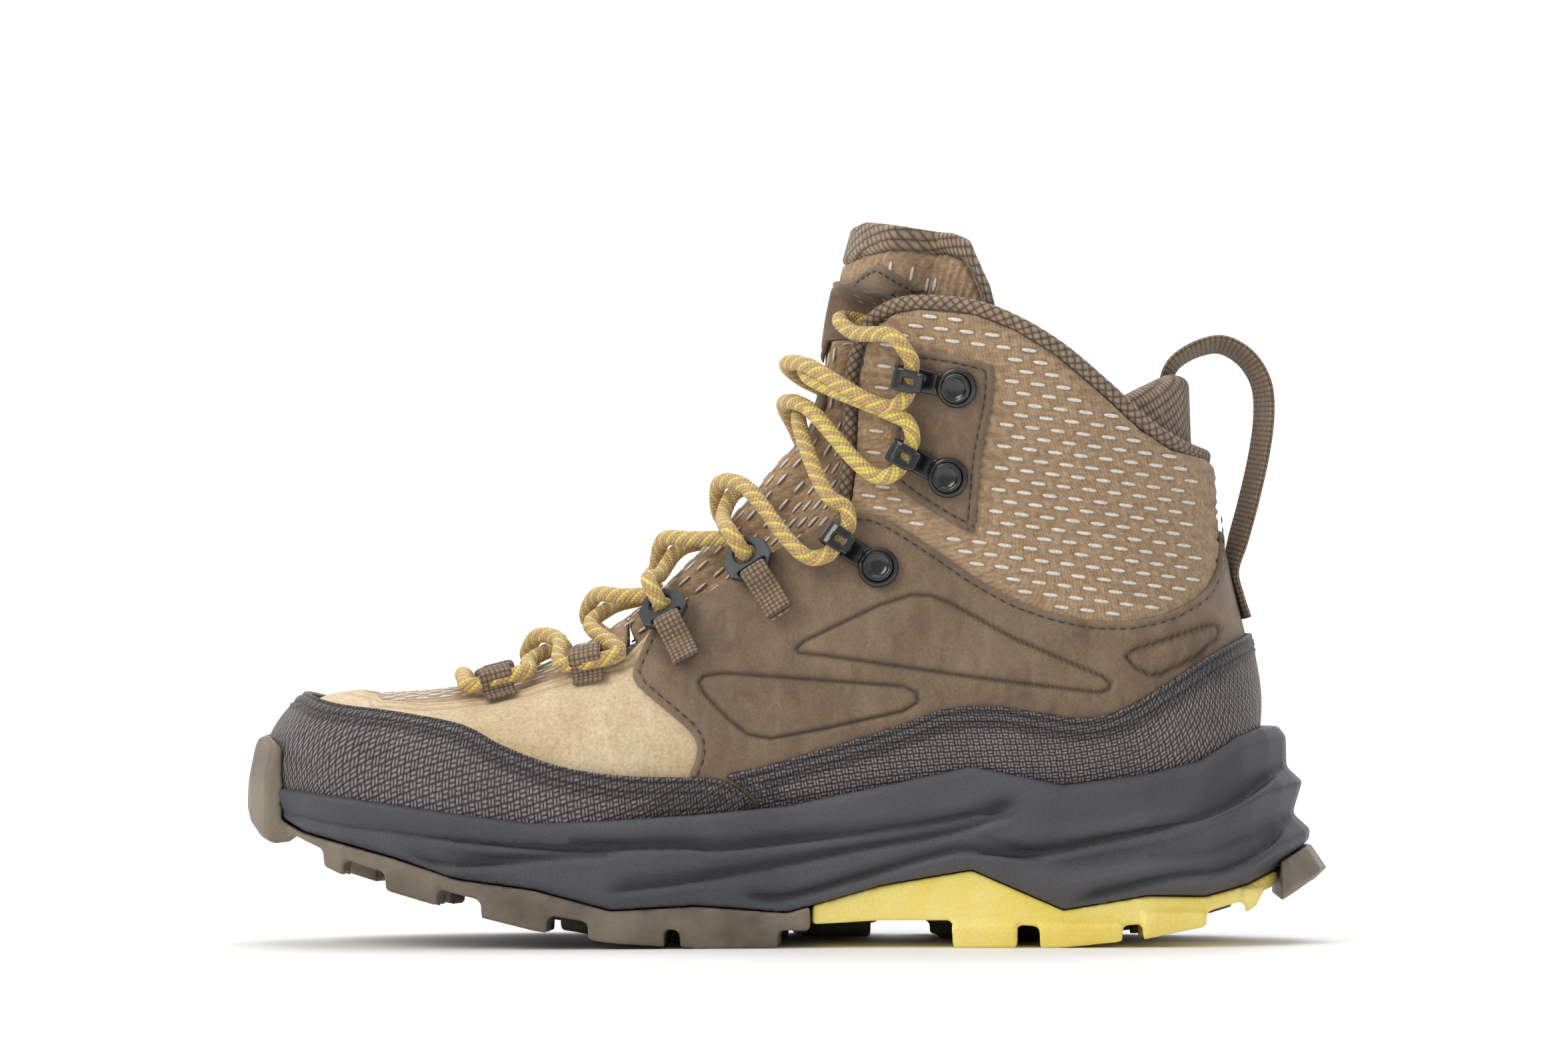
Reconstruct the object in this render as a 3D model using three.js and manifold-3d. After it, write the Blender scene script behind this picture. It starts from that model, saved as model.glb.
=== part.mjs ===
// A laced mid-height hiking boot, right foot. Millimetres, +Z up, toe towards -X, inner side towards -Y.
import * as THREE from 'three';
import { mergeVertices } from 'three/addons/utils/BufferGeometryUtils.js';
import Module from 'manifold-3d';

const wasm = await Module();
wasm.setup();

// Driving dimensions
const BOOT_LENGTH = 286; // outsole, toe bumper to heel lug
const BOOT_HEIGHT = 190; // ground to the top of the tongue
const GIRTH = 1; // scale of all widths of the last
const LACE_DIAMETER = 4.2;
const HOOK_RING = 10.7; // outer diameter of a hook's ring
const HOOK_LENGTH = 22.3; // ring edge to the fold of the lip
const RING_SIZE = 12.7; // across flats of a lace ring
const STRAP_WIDTH = 7.5;
const LOOP_WIDTH = 8.7; // webbing tunnels on the vamp
const BINDING_DIAMETER = 5;
const GAP = 0.3; // clearance between neighbouring pieces
const LINING = 2.5;
const SHEET = 1.2; // stiffeners, suede, vamp mesh
const NUBUCK = 1.4;
const SHELL_FOAM = 2.5; // padded ankle shell

// The last and every edge line are drawn for a boot of 286 by 190. These turn them to the wanted size
const LENGTH_SCALE = BOOT_LENGTH / 286;
const HEIGHT_SCALE = BOOT_HEIGHT / 190;
const sized = ([x, z]) => [x * LENGTH_SCALE, z * HEIGHT_SCALE];

// Layers outwards from the foot: [inner offset, outer offset]
const sheetLayer = [LINING + GAP, LINING + GAP + SHEET];
const suedeLayer = [sheetLayer[1] + 0.1, sheetLayer[1] + 0.1 + SHEET];
const shellLayer = [LINING + GAP, LINING + GAP + SHELL_FOAM];
const quarterLayer = [shellLayer[1] + GAP, shellLayer[1] + GAP + NUBUCK];
const randLayer = [quarterLayer[1] + GAP, quarterLayer[1] + GAP + NUBUCK];
const upperOuter = randLayer[1] + GAP;

// The last. Each station is a section on the line from the sole (x, z) to the instep (x, z):
// sole x, sole z, instep x, instep z, inner half width, outer half width, flat bottom share,
// height of the widest point, roundness of the upper part, centre line y
const stations = [
  [-130.5, 42, -130.5, 47, 0, 0, 0.75, 0.4, 2.2, -7],
  [-128, 40, -129, 51.5, 10, 10, 0.75, 0.4, 2.2, -7],
  [-124.5, 38.5, -126, 56, 17.5, 17.5, 0.76, 0.4, 2.2, -7],
  [-119, 37, -121, 60, 24.5, 24.5, 0.77, 0.38, 2.2, -6.6],
  [-111, 35.5, -113, 61.6, 31, 30.5, 0.78, 0.36, 2.2, -6],
  [-101, 34, -103, 62, 35, 35, 0.79, 0.34, 2.2, -5],
  [-88, 31.5, -90, 63, 38, 38.5, 0.8, 0.32, 2.1, -4],
  [-73, 29.5, -76, 65.2, 39.5, 40.5, 0.8, 0.3, 2, -3],
  [-57, 28.5, -62, 70, 39.5, 41.5, 0.78, 0.28, 1.95, -2],
  [-40, 28.5, -48, 77.5, 37, 41.5, 0.76, 0.27, 1.9, -1],
  [-22, 29.5, -34, 87.5, 34, 40, 0.74, 0.26, 1.9, 0],
  [-2, 31.5, -20.5, 99.5, 31.5, 37, 0.72, 0.26, 1.9, 0],
  [20, 34, -9, 111, 30.5, 34, 0.7, 0.26, 1.95, 0],
  [42, 36, 0, 121.5, 30, 32, 0.7, 0.27, 2, 0],
  [64, 37, 7, 131, 29.5, 30.5, 0.7, 0.28, 2.1, 0],
  [86, 38, 12, 140, 29.5, 29.5, 0.66, 0.3, 2.2, 0],
  [104, 41, 14.5, 147, 29.5, 29.5, 0.5, 0.32, 2.3, 0],
  [114, 49, 15.5, 152.5, 29.5, 29.5, 0.28, 0.35, 2.4, 0],
  [117, 62, 16, 157.5, 29.5, 29.5, 0.12, 0.38, 2.4, 0],
  [115.5, 75, 16.6, 162, 29.5, 29.5, 0.05, 0.41, 2.4, 0],
  [112.5, 88, 17.4, 166.5, 30, 30, 0, 0.44, 2.4, 0],
  [109.8, 100, 18.4, 171, 30.5, 30.5, 0, 0.46, 2.4, 0],
  [108.5, 110, 19.5, 175.5, 31, 31, 0, 0.47, 2.4, 0],
  [108, 119, 20.8, 180, 31.5, 31.5, 0, 0.48, 2.4, 0],
  [107.5, 127, 22.2, 185, 32, 32, 0, 0.48, 2.4, 0],
  [107, 140, 24, 191, 32.5, 32.5, 0, 0.48, 2.4, 0],
  [106.5, 154, 26, 199, 33, 33, 0, 0.48, 2.4, 0],
];
const LAST_STATION = stations.length - 1;
const flatEnd = 0.2; // share of the half section that is the flat bottom
const sideEnd = 0.5; // where the half section is widest

function stationAt(u) {
  const i = Math.min(Math.floor(u), LAST_STATION - 1);
  const f = u - i;
  const rows = [i - 1, i, i + 1, i + 2].map((k) => stations[THREE.MathUtils.clamp(k, 0, LAST_STATION)]);
  return rows[0].map((_, c) => {
    const [a, b, d, e] = rows.map((row) => row[c]);
    const p = -a + 3 * b - 3 * d + e;
    const q = 2 * a - 5 * b + 4 * d - e;
    return 0.5 * (2 * b + (d - a) * f + q * f * f + p * f * f * f);
  });
}

// Point of the bare last: u is the station, t runs from the sole's centre (0) to the instep (1)
function lastPoint(u, t, side) {
  const [ox, oz, ix, iz, inner, outer, flat, widest, round, centre] = stationAt(u);
  const width = (side < 0 ? inner : outer) * GIRTH;
  const share = Math.max(flat, 0);
  let across;
  let up;
  if (t <= flatEnd) {
    across = (share * t) / flatEnd;
    up = 0;
  } else if (t <= sideEnd) {
    const turn = ((t - flatEnd) / (sideEnd - flatEnd)) * (Math.PI / 2);
    across = share + (1 - share) * Math.sin(turn);
    up = widest * (1 - Math.cos(turn));
  } else {
    const turn = ((t - sideEnd) / (1 - sideEnd)) * (Math.PI / 2);
    across = Math.max(Math.cos(turn), 0) ** (2 / round);
    up = widest + (1 - widest) * Math.sin(turn) ** (2 / round);
  }
  const [x, z] = sized([ox + (ix - ox) * up, oz + (iz - oz) * up]);
  return new THREE.Vector3(x, centre * GIRTH + side * width * across, z);
}

function lastNormal(u, t, side) {
  if (t < 0.02 || t > 0.98) {
    const at = t < 0.5 ? flatEnd + 0.04 : 0.97;
    return lastNormal(u, at, -1).add(lastNormal(u, at, 1)).normalize();
  }
  const uu = THREE.MathUtils.clamp(u, 0.05, LAST_STATION - 0.05);
  const alongU = lastPoint(uu + 0.04, t, side).sub(lastPoint(uu - 0.04, t, side));
  const alongT = lastPoint(uu, t + 0.015, side).sub(lastPoint(uu, t - 0.015, side));
  const normal = alongT.cross(alongU).multiplyScalar(side).normalize();
  if (u < 0.01) normal.y = 0;
  return normal.normalize();
}

function skinPoint(u, t, side, lift) {
  return lastPoint(u, t, side).addScaledVector(lastNormal(u, t, side), lift);
}

// Finds where a point of the side view (x, z) lies on the skin at a lift
function findOnSkin(atX, atZ, side, lift) {
  const [x, z] = sized([atX, atZ]);
  let best = { miss: Infinity, u: 0, t: 0 };
  const test = (u, t) => {
    const p = skinPoint(u, t, side, lift);
    const miss = (p.x - x) ** 2 + (p.z - z) ** 2;
    if (miss < best.miss) best = { miss, u, t, p };
  };
  for (let u = 0; u <= LAST_STATION; u += 0.5) {
    for (let t = 0.25; t <= 1.0001; t += 0.025) test(u, Math.min(t, 1));
  }
  for (let step = 0.25; step > 0.002; step *= 0.6) {
    const from = best;
    for (const du of [-1, 0, 1]) {
      for (const dt of [-1, 0, 1]) {
        const u = THREE.MathUtils.clamp(from.u + du * step, 0, LAST_STATION);
        test(u, THREE.MathUtils.clamp(from.t + dt * step * 0.05, 0.2, 1));
      }
    }
  }
  return best;
}

// Closed geometry from a list of points and triangles, with equal points joined
function closedGeometry(points, triangles) {
  const geometry = new THREE.BufferGeometry();
  geometry.setAttribute('position', new THREE.Float32BufferAttribute(points.flatMap((p) => [p.x, p.y,
    p.z]), 3));
  geometry.setIndex(triangles.flat());
  const merged = mergeVertices(geometry, 1e-3);
  const index = merged.index.array;
  const kept = [];
  for (let i = 0; i < index.length; i += 3) {
    const [a, b, c] = [index[i], index[i + 1], index[i + 2]];
    if (a !== b && b !== c && c !== a) kept.push(a, b, c);
  }
  merged.setIndex(kept);
  return merged;
}

function toSolid(geometry) {
  const plain = new THREE.BufferGeometry();
  plain.setAttribute('position', geometry.getAttribute('position').clone());
  if (geometry.index) plain.setIndex(geometry.index.clone());
  const merged = mergeVertices(plain, 1e-4);
  return new wasm.Manifold(
    new wasm.Mesh({
      numProp: 3,
      vertProperties: new Float32Array(merged.attributes.position.array),
      triVerts: new Uint32Array(merged.index.array),
    }),
  );
}

// Pieces too small to be real, left where two outlines cross, are dropped
function toGeometry(solid) {
  const parts = solid.decompose().sort((a, b) => b.volume() - a.volume());
  const mesh = parts[0].getMesh();
  const geometry = new THREE.BufferGeometry();
  const positions = Float32Array.from(mesh.vertProperties);
  geometry.setAttribute('position', new THREE.Float32BufferAttribute(positions, 3));
  geometry.setIndex(Array.from(mesh.triVerts));
  return geometry;
}

// The last grown by a lift, which may change over the surface, closed at the top
const aroundSteps = [0, 0.2, 0.29, 0.39, 0.5, 0.6, 0.7, 0.77, 0.82, 0.87, 0.93, 1];
const stationSteps = [0, 0.6, 1.3, 2.2, 3.3, 4.6, 6, 7.4, 8.7, 10, 11.4, 13, 14.5, 15.7, 16.7, 17.7, 18.9,
  20.4, 22, 24, 26];
function grownLast(lift) {
  const liftAt = typeof lift === 'function' ? lift : () => lift;
  const points = [];
  const rings = [];
  for (const u of stationSteps) {
    const ring = [];
    const add = (t, side) => {
      ring.push(points.length);
      points.push(skinPoint(u, t, side, liftAt(u, t, side)));
    };
    aroundSteps.forEach((t) => add(t, -1));
    aroundSteps.slice(1, -1).reverse().forEach((t) => add(t, 1));
    rings.push(ring);
  }
  const triangles = [];
  const count = rings[0].length;
  for (let r = 0; r + 1 < rings.length; r += 1) {
    for (let k = 0; k < count; k += 1) {
      const [a, b] = [rings[r][k], rings[r][(k + 1) % count]];
      const [c, d] = [rings[r + 1][(k + 1) % count], rings[r + 1][k]];
      triangles.push([a, d, c], [a, c, b]);
    }
  }
  const top = rings[rings.length - 1];
  for (let k = 1; k <= count / 2; k += 1) {
    triangles.push([top[k], top[k - 1], top[count - k]]);
    if (k > 1) triangles.push([top[k - 1], top[(count - k + 1) % count], top[count - k]]);
  }
  return closedGeometry(points, triangles);
}

const grownCache = new Map();
function grown(lift) {
  if (!grownCache.has(lift)) grownCache.set(lift, toSolid(grownLast(lift)));
  return grownCache.get(lift);
}

// Straight-sided solid from an outline in the side view, between two y values
function sidePrism(outline, yFrom = -90, yTo = 90) {
  const shape = new THREE.Shape(outline.map(sized).map(([x, z]) => new THREE.Vector2(x, z)));
  const geometry = new THREE.ExtrudeGeometry(shape, { depth: yTo - yFrom, bevelEnabled: false });
  geometry.rotateX(Math.PI / 2);
  geometry.translate(0, yTo, 0);
  return toSolid(geometry);
}

// Straight-sided solid from an outline in plan, between two z values
function slab(outline, zFrom, zTo) {
  const shape = new THREE.Shape(outline.map(([x, y]) => new THREE.Vector2(x, y)));
  const geometry = new THREE.ExtrudeGeometry(shape, { depth: zTo - zFrom, bevelEnabled: false });
  geometry.translate(0, 0, zFrom);
  return toSolid(geometry);
}

// The same for the sole, at the boot's size
function planPrism(outline, zFrom, zTo) {
  const cut = outline.map(([x, y]) => [x * LENGTH_SCALE, y * GIRTH]);
  return slab(cut, zFrom * HEIGHT_SCALE, zTo * HEIGHT_SCALE);
}

function layer([inner, outer]) {
  return grown(outer).subtract(grown(inner));
}

function panel(span, outline, yFrom, yTo) {
  return layer(span).intersect(insideCup).intersect(sidePrism(outline, yFrom, yTo));
}

function along(line, x) {
  if (x <= line[0][0]) return line[0][1];
  for (let i = 1; i < line.length; i += 1) {
    const [x0, z0] = line[i - 1];
    const [x1, z1] = line[i];
    if (x <= x1) return z0 + ((z1 - z0) * (x - x0)) / (x1 - x0);
  }
  return line[line.length - 1][1];
}

function shifted(line, dx, dz) {
  return line.map(([x, z]) => [x + dx, z + dz]);
}

// Edge lines in the side view (x, z)
const soleLine = stations.slice(0, 17).map(([x, z]) => [x, z]);
const midsoleTop = [
  [-139, 42.7], [-113.5, 39.6], [-84.3, 35.4], [-63.5, 32.9], [-42.7, 33.7], [-8.3, 35.8], [9.4, 38.5],
  [30.2, 43.7], [46.8, 47.5], [54.1, 46.8], [63.5, 43.3], [69.7, 42.1], [82.2, 43.7], [98.9, 45.8],
  [111.4, 48.9], [125.3, 56.8], [140, 57.3],
];
const midsoleBottom = [
  [-139, 41.8], [-137, 37.3], [-134, 33.6], [-129.7, 30.8], [-119.3, 28.1], [-105.9, 25.3], [-96.1, 20.8],
  [-82.8, 17.7], [-65.1, 15.6], [-52.3, 9.8], [-29, 11.3], [-14.5, 11.3], [0.2, 9.5], [13.6, 13.1],
  [31.9, 18.9], [42.7, 21.8], [51.7, 19.5], [60.6, 12.6], [69.6, 9.6], [86.7, 12.6], [101.9, 15],
  [110.3, 13.3], [121.2, 15.8], [133.6, 20.9], [140, 24],
];
const groundLine = [
  [-143, 34], [-134.6, 26.5], [-118.8, 19.6], [-107, 15.8], [-92, 11.3], [-81.6, 8.7], [-63.4, 4.3],
  [-54, 2.6], [-33, 0], [78, 0], [87, 1.8], [100, 2.7], [107, 4.8], [117, 6.5], [126, 10.6], [134, 16],
  [143, 18.6],
];
const throatLine = [[-42.5, 79.5], [-36.4, 82.2], [-26, 89.5], [-14.6, 96.8], [-1, 105.2], [11.4, 112],
  [16.2, 114.5]];
const facingLine = [[16.2, 114.5], [17.7, 124.9], [18.3, 137.3], [19.1, 149.8], [20.8, 158.2],
  [22.9, 162.3], [28.1, 165.9]];
const collarLine = [
  [28.1, 165.9], [34.3, 166.9], [48.9, 165.4], [59.3, 161.3], [69.7, 155], [82.2, 144.6], [92.6, 135.3],
  [100.9, 130.1], [116, 125.3],
];
const quarterTopLine = [
  [16.6, 113.6], [21.9, 113.4], [28.1, 110.7], [38.5, 104], [48.9, 96.8], [59.3, 91.1], [69.7, 87.4],
    [80.1, 85.3],
  [90.5, 85.3], [100.9, 87.8], [109.3, 92.6], [113.4, 98.8], [114.7, 106.1], [115.2, 113.4],
];
const quarterFrontLine = [
  [-36.4, 82.2], [-39.5, 75.3], [-40.6, 71.6], [-38.5, 68], [-31.2, 61.8], [-25.6, 56.8], [-23.7, 53.5],
    [-23.7, 49.9],
  [-25.6, 44.7],
];
const frontRandTop = [
  [-126, 66], [-117.6, 63.5], [-100.9, 61.4], [-84.3, 58.3], [-73.9, 53.1], [-59.3, 47.9], [-42.7, 45.2],
  [-26, 44.7], [-17.7, 44.1], [-11.4, 40.6], [-8.3, 37.5],
];
const rearRandTop = [
  [-16.8, 45.2], [-7.6, 47], [-1, 48.9], [19.8, 55.1], [32.3, 59.3], [40.6, 62.2], [53.1, 63.1],
    [65.6, 61.4],
  [76, 59.9], [86.4, 61.8], [98.8, 68.7], [111.3, 76.6], [127, 84],
];
const vampWindowLine = [
  [-113, 66.6], [-108.2, 65.6], [-106.1, 64.1], [-94.7, 63.4], [-88.4, 63.9], [-80, 65], [-69.1, 67.2],
  [-56, 71.5], [-44, 75.2],
];
// Lower edge of everything that is lasted into the midsole cup
const tuckLine = midsoleTop.map(([x, z]) => [x, Math.min(z - 7, along(soleLine, x) + (x > 100 ? 14 : 6))]);
const reversed = (line) => [...line].reverse();

// Sole outline in plan: x, inner y, outer y
const soleOutline = [
  [-138.6, -7, -7], [-137.4, -17, 3], [-133.5, -27, 13], [-127, -35.5, 22], [-117, -42.5, 30.5],
    [-103, -47.6, 38.5],
  [-86, -50.6, 45], [-66, -51.4, 50.2], [-46, -49.6, 52.6], [-24, -46, 52], [0, -42.6, 49.2], [24, -41, 46],
  [48, -40.8, 43.6], [72, -41, 42], [94, -40.4, 40.8], [110, -36.5, 36.8], [122, -28.4, 28.6],
    [130, -17.5, 17.6],
  [134.6, -8, 8], [136, 0, 0],
].map(([x, a, b]) => [x, a * GIRTH, b * GIRTH]);

// Closed loft of the sole outline. Each level gives the outward step and the height at an x
function soleLoft(levels) {
  const side = (pick) => soleOutline.map((row) => [row[0], row[pick]]);
  const loop = [...side(1), ...reversed(side(2)).slice(1, -1)];
  const count = loop.length;
  const half = soleOutline.length;
  const points = [];
  for (const level of levels) {
    loop.forEach(([x, y], k) => {
      const before = loop[(k + count - 1) % count];
      const after = loop[(k + 1) % count];
      const out = new THREE.Vector2(after[1] - before[1],
        (before[0] - after[0]) * LENGTH_SCALE).normalize();
      const { step, z } = level(x);
      points.push(new THREE.Vector3(x * LENGTH_SCALE + out.x * step, y + out.y * step, z * HEIGHT_SCALE));
    });
  }
  const triangles = [];
  for (let r = 0; r + 1 < levels.length; r += 1) {
    for (let k = 0; k < count; k += 1) {
      const next = (k + 1) % count;
      triangles.push([r * count + k, r * count + next, (r + 1) * count + next]);
      triangles.push([r * count + k, (r + 1) * count + next, (r + 1) * count + k]);
    }
  }
  const cap = (base, flip) => {
    for (let k = 0; k + 1 < half; k += 1) {
      const [a, b] = [base + k, base + k + 1];
      const [c, d] = [base + ((count - k - 1) % count), base + ((count - k) % count)];
      const faces = [[a, c, b], [a, d, c]];
      faces.forEach(([p, q, s]) => triangles.push(flip ? [p, s, q] : [p, q, s]));
    }
  };
  cap(0, false);
  cap((levels.length - 1) * count, true);
  return toSolid(closedGeometry(points, triangles));
}

const smooth = (from, to, x) => THREE.MathUtils.smoothstep(x, from, to);
const mix = THREE.MathUtils.lerp;

// Midsole side profile from bottom to top: share of the height, step in the forefoot, step at the heel
const sideProfile = [
  [0, -1.6, -2.4], [0.15, 0, 2.4], [0.22, 0, 2.6], [0.34, -0.7, -2], [0.58, 0.3, 0.6], [0.69, -0.6, -3.6],
  [0.92, -0.2, -3.8], [1, -1.4, -6],
];
const midsoleLoft = (grow, lower = 0) =>
  soleLoft(
    sideProfile.map(([share, fore, heel], k) => (x) => {
      const bottom = along(midsoleBottom, x) - lower;
      const top = along(midsoleTop, x);
      const end = k === sideProfile.length - 1 ? grow : 0;
      return { step: mix(fore, heel, smooth(20, 125, x)) + grow, z: mix(bottom, top, share) + end };
    }),
  );
const cupLift = (u, t) => mix(6.2, upperOuter, Math.max(smooth(0.2, 0.36, t), smooth(14.6, 16.6, u)));
const insideCup = grown((u, t) => cupLift(u, t) - 0.25);
const midsoleSolid = midsoleLoft(0);
const midsoleClear = midsoleLoft(GAP + 0.1, GAP);

// Outsole: a plate under the midsole and lugs down to the ground
const plateLoft = (top, bottom, topStep, bottomStep) =>
  soleLoft([(x) => ({ step: bottomStep, z: bottom(x) }), (x) => ({ step: topStep, z: top(x) })]);
const plateTop = (x) => along(midsoleBottom, x) - GAP;
const plateBottom = (x) => Math.min(along(groundLine, x) + 4.6, plateTop(x) - 1.6);
const insertLine = [[6, 5.8], [13.6, 5.5], [25.1, 7.3], [37.9, 9.5], [46, 7.5], [63, 4.8], [88, 5.1],
  [113, 9.6], [127, 13.3], [136, 19]];

// Lug rows: x from, x to of each lug on the inner edge
const foreLugs = [[-125, -117], [-107.3, -91.9], [-81.6, -63.4], [-54, -33.3], [-30.8, -4]];
const heelLugs = [[40.4, 59], [63.2, 86.5], [90, 108.5], [116, 127]];

function lugRow(rows, inner, outer, skew, zTop, ground) {
  let joined = null;
  for (const [from, to] of rows) {
    const outline = [[from, inner], [to, inner], [to + skew - 1.5, outer], [from + skew + 1.5, outer]];
    const area = THREE.ShapeUtils.area(outline.map(([x, y]) => new THREE.Vector2(x, y)));
    const block = planPrism(area > 0 ? outline : reversed(outline), -5, zTop(0.5 * (from + to)));
    joined = joined ? joined.add(block) : block;
  }
  return joined.intersect(ground);
}
const groundSolid = soleLoft([
  (x) => ({ step: -2.2, z: along(groundLine, x) }),
  (x) => ({ step: -0.6, z: along(groundLine, x) + 4.6 }),
  () => ({ step: -0.6, z: 60 }),
]);
const lugTop = (x) => plateBottom(x) + 2;

function rowsJoined(list) {
  return list.map(([rows, inner, outer, skew]) => lugRow(rows, inner, outer, skew, lugTop, groundSolid))
    .reduce((sum, next) => sum.add(next));
}
const centreFore = [[-118, -108], [-100, -88], [-80, -68], [-60, -48], [-40, -28], [-20, -8]];
const foreTread = rowsJoined([
  [foreLugs, -60, -27, 4],
  [[[-128, -117], ...foreLugs.slice(1), [-2, 18]], 60, 27, 6],
  [centreFore, -20, -2, 4],
  [centreFore, 20, 3, 4],
]);
const heelTread = rowsJoined([
  [[...heelLugs.slice(0, 3), [114, 124]], 60, 18, -4],
  [[[48, 60], [70, 82], [92, 104]], 13, -3, -3],
]);
const endLug = planPrism([[129.6, -30], [150, -30], [150, 30], [129.6, 30]], 5, 60);
const insertTread = rowsJoined([
  [heelLugs, -60, -22, 3],
  [[[46, 56], [68, 80], [92, 102]], -18, -9, 0],
]);

// Brown toe bumper, a crescent in front of the rand and the midsole
const bumperOutline = [
  [-130, 27.4], [-134.6, 26.9], [-138.2, 28.7], [-141.3, 32.4], [-142.8, 35.4], [-142.8, 37.9],
    [-142.4, 42],
  [-140.4, 52.2], [-139, 54.5], [-136.3, 55], [-130, 50],
];
const bumper = sidePrism(bumperOutline, -30, 16)
  .intersect(soleLoft([() => ({ step: 4.2, z: 20 }), () => ({ step: 4.2, z: 44 }),
    () => ({ step: 1.6, z: 56 })]))
  .subtract(midsoleLoft(3 * GAP, GAP))
  .subtract(sidePrism(reversed([[-128, 24], [-110, 24], [-110, 60], [-128, 60]])))
  .subtract(grown(upperOuter));

const planSide = (points, from = -20, to = 62) => planPrism(points, from, to);
const foreCut = planSide([[-150, -70], [5.9, -70], [5.9, -5], [24, 4], [24, 70], [-150, 70]]);
const heelCut = planSide([[40, -5], [129.6, -5], [129.6, -60], [150, -60], [150, 60], [30, 60]])
  .subtract(planSide([[20, -70], [40.5, -70], [40.5, 70], [20, 70]], -20, 1));
const insertCut = planSide([[6.4, -70], [129.1, -70], [129.1, -5.5], [6.4, -5.5]]);

const shankXs = [-24, 8, 40, 72, 92];
function strip(xs, top, bottom, half) {
  const outline = [...xs.map((x) => [x, bottom(x)]), ...reversed(xs.map((x) => [x, top(x)]))];
  return sidePrism(outline, -half, half);
}
const boardLow = (x) => along(soleLine, x) - 4.6 / HEIGHT_SCALE;
const shank = (grow) => strip(shankXs.map((x, k) => x + (k === 0 ? -grow : 0) + (k === 4 ? grow : 0)),
  (x) => boardLow(x) - (0.1 - grow) / HEIGHT_SCALE,
  (x) => boardLow(x) - (1.5 + grow) / HEIGHT_SCALE, 13 + grow);

const forefootPlate = plateLoft(plateTop, plateBottom, -0.6, -1.2).intersect(foreCut);
const heelPlate = plateLoft(plateTop, plateBottom, -2.6, -2.2).intersect(heelCut);
const insertPlate = plateLoft(plateTop, (x) => Math.min(along(insertLine, x), plateTop(x) - 1.6), -2, -2.4)
  .intersect(insertCut);
const heelEnd = soleLoft([
  (x) => ({ step: 3.4, z: Math.min(along(groundLine, x), 16) }),
  (x) => ({ step: mix(0, 7, smooth(120, 136, x)), z: along(groundLine, x) + 3 }),
  (x) => ({ step: mix(0, 2.6, smooth(120, 136, x)), z: along(groundLine, x) + 9.5 }),
]).intersect(endLug).subtract(midsoleClear);

// Hole centres for the hook rivets are found on the quarter or on the eyelet patch
const hookPlaces = [
  { at: [23.8, 99.1], to: [9.9, 108.3], base: quarterLayer[1] },
  { at: [42.1, 122.7], to: [26.9, 131], base: quarterLayer[1] },
  { at: [44.4, 146.2], to: [27.7, 150.1], base: quarterLayer[1] },
];

// Frame on the skin at (x, z): local x points towards `to`, local z points outwards
function skinFrame([x, z], to, side, lift) {
  const { p, u, t } = findOnSkin(x, z, side, lift);
  const normal = lastNormal(u, t, side);
  const aim = findOnSkin(to[0], to[1], side, lift).p.clone().sub(p);
  const xAxis = aim.addScaledVector(normal, -aim.dot(normal)).normalize();
  const yAxis = normal.clone().cross(xAxis);
  return new THREE.Matrix4().makeBasis(xAxis, yAxis, normal).setPosition(p);
}

// Profile in local x and z, drawn out along local y
function profileAlongY(outline, width, holes = []) {
  const shape = new THREE.Shape(outline.map(([x, z]) => new THREE.Vector2(x, z)));
  holes.forEach((hole) => shape.holes.push(new THREE.Path(hole.map(([x, z]) => new THREE.Vector2(x, z)))));
  const geometry = new THREE.ExtrudeGeometry(shape, { depth: width, bevelEnabled: false });
  geometry.rotateX(Math.PI / 2);
  geometry.translate(0, width / 2, 0);
  return geometry;
}

const turned = (points, segments) => new THREE.LatheGeometry(points.map(([r, z]) => new THREE.Vector2(r,
  z)), segments)
  .rotateX(Math.PI / 2);

// Lace hook: a ring plate and a strip that folds back over itself as a lip
const LIP = 6.2;
const CHANNEL = LACE_DIAMETER + 0.9;
const PLATE = 1.2;
const foldX = HOOK_LENGTH - HOOK_RING / 2;
const hookProfile = () => {
  const outer = CHANNEL / 2 + PLATE;
  const points = [[2, 0]];
  for (let k = 0; k <= 4; k += 1) {
    const a = -Math.PI / 2 + (Math.PI * k) / 4;
    points.push([foldX - outer + outer * Math.cos(a), outer + outer * Math.sin(a)]);
  }
  points.push([foldX - 9.2, 2 * outer + 0.5], [foldX - 9.2, 2 * outer - PLATE + 0.5]);
  for (let k = 4; k >= 0; k -= 1) {
    const a = -Math.PI / 2 + (Math.PI * k) / 4;
    points.push([foldX - outer + (outer - PLATE) * Math.cos(a), outer + (outer - PLATE) * Math.sin(a)]);
  }
  points.push([2, PLATE]);
  return points;
};
const hookRing = turned([[2.7, 0], [HOOK_RING / 2, 0], [HOOK_RING / 2, 1.6], [HOOK_RING / 2 - 1.2, 2],
  [2.7, PLATE], [2.7, 0]], 12);
const slot = profileAlongY([[foldX - 7.4, 5], [foldX - 3.2, 5], [foldX - 3.2, 9], [foldX - 7.4, 9]], 1.6);
const hookStrip = toSolid(profileAlongY(hookProfile(), LIP)).subtract(toSolid(slot));
const neckCut = [[2, 1.75], [6.5, 1.75], [9, 3.2], [9, 6], [2, 6]];
const neckTrim = slab(neckCut, -1, 3).add(slab(reversed(neckCut.map(([x, y]) => [x, -y])), -1, 3));
const hookBody = toSolid(hookRing).add(hookStrip.subtract(neckTrim).subtract(toSolid(turned([[0, -1],
  [2.69, -1], [2.69, 3], [0, 3]], 12))));

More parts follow.
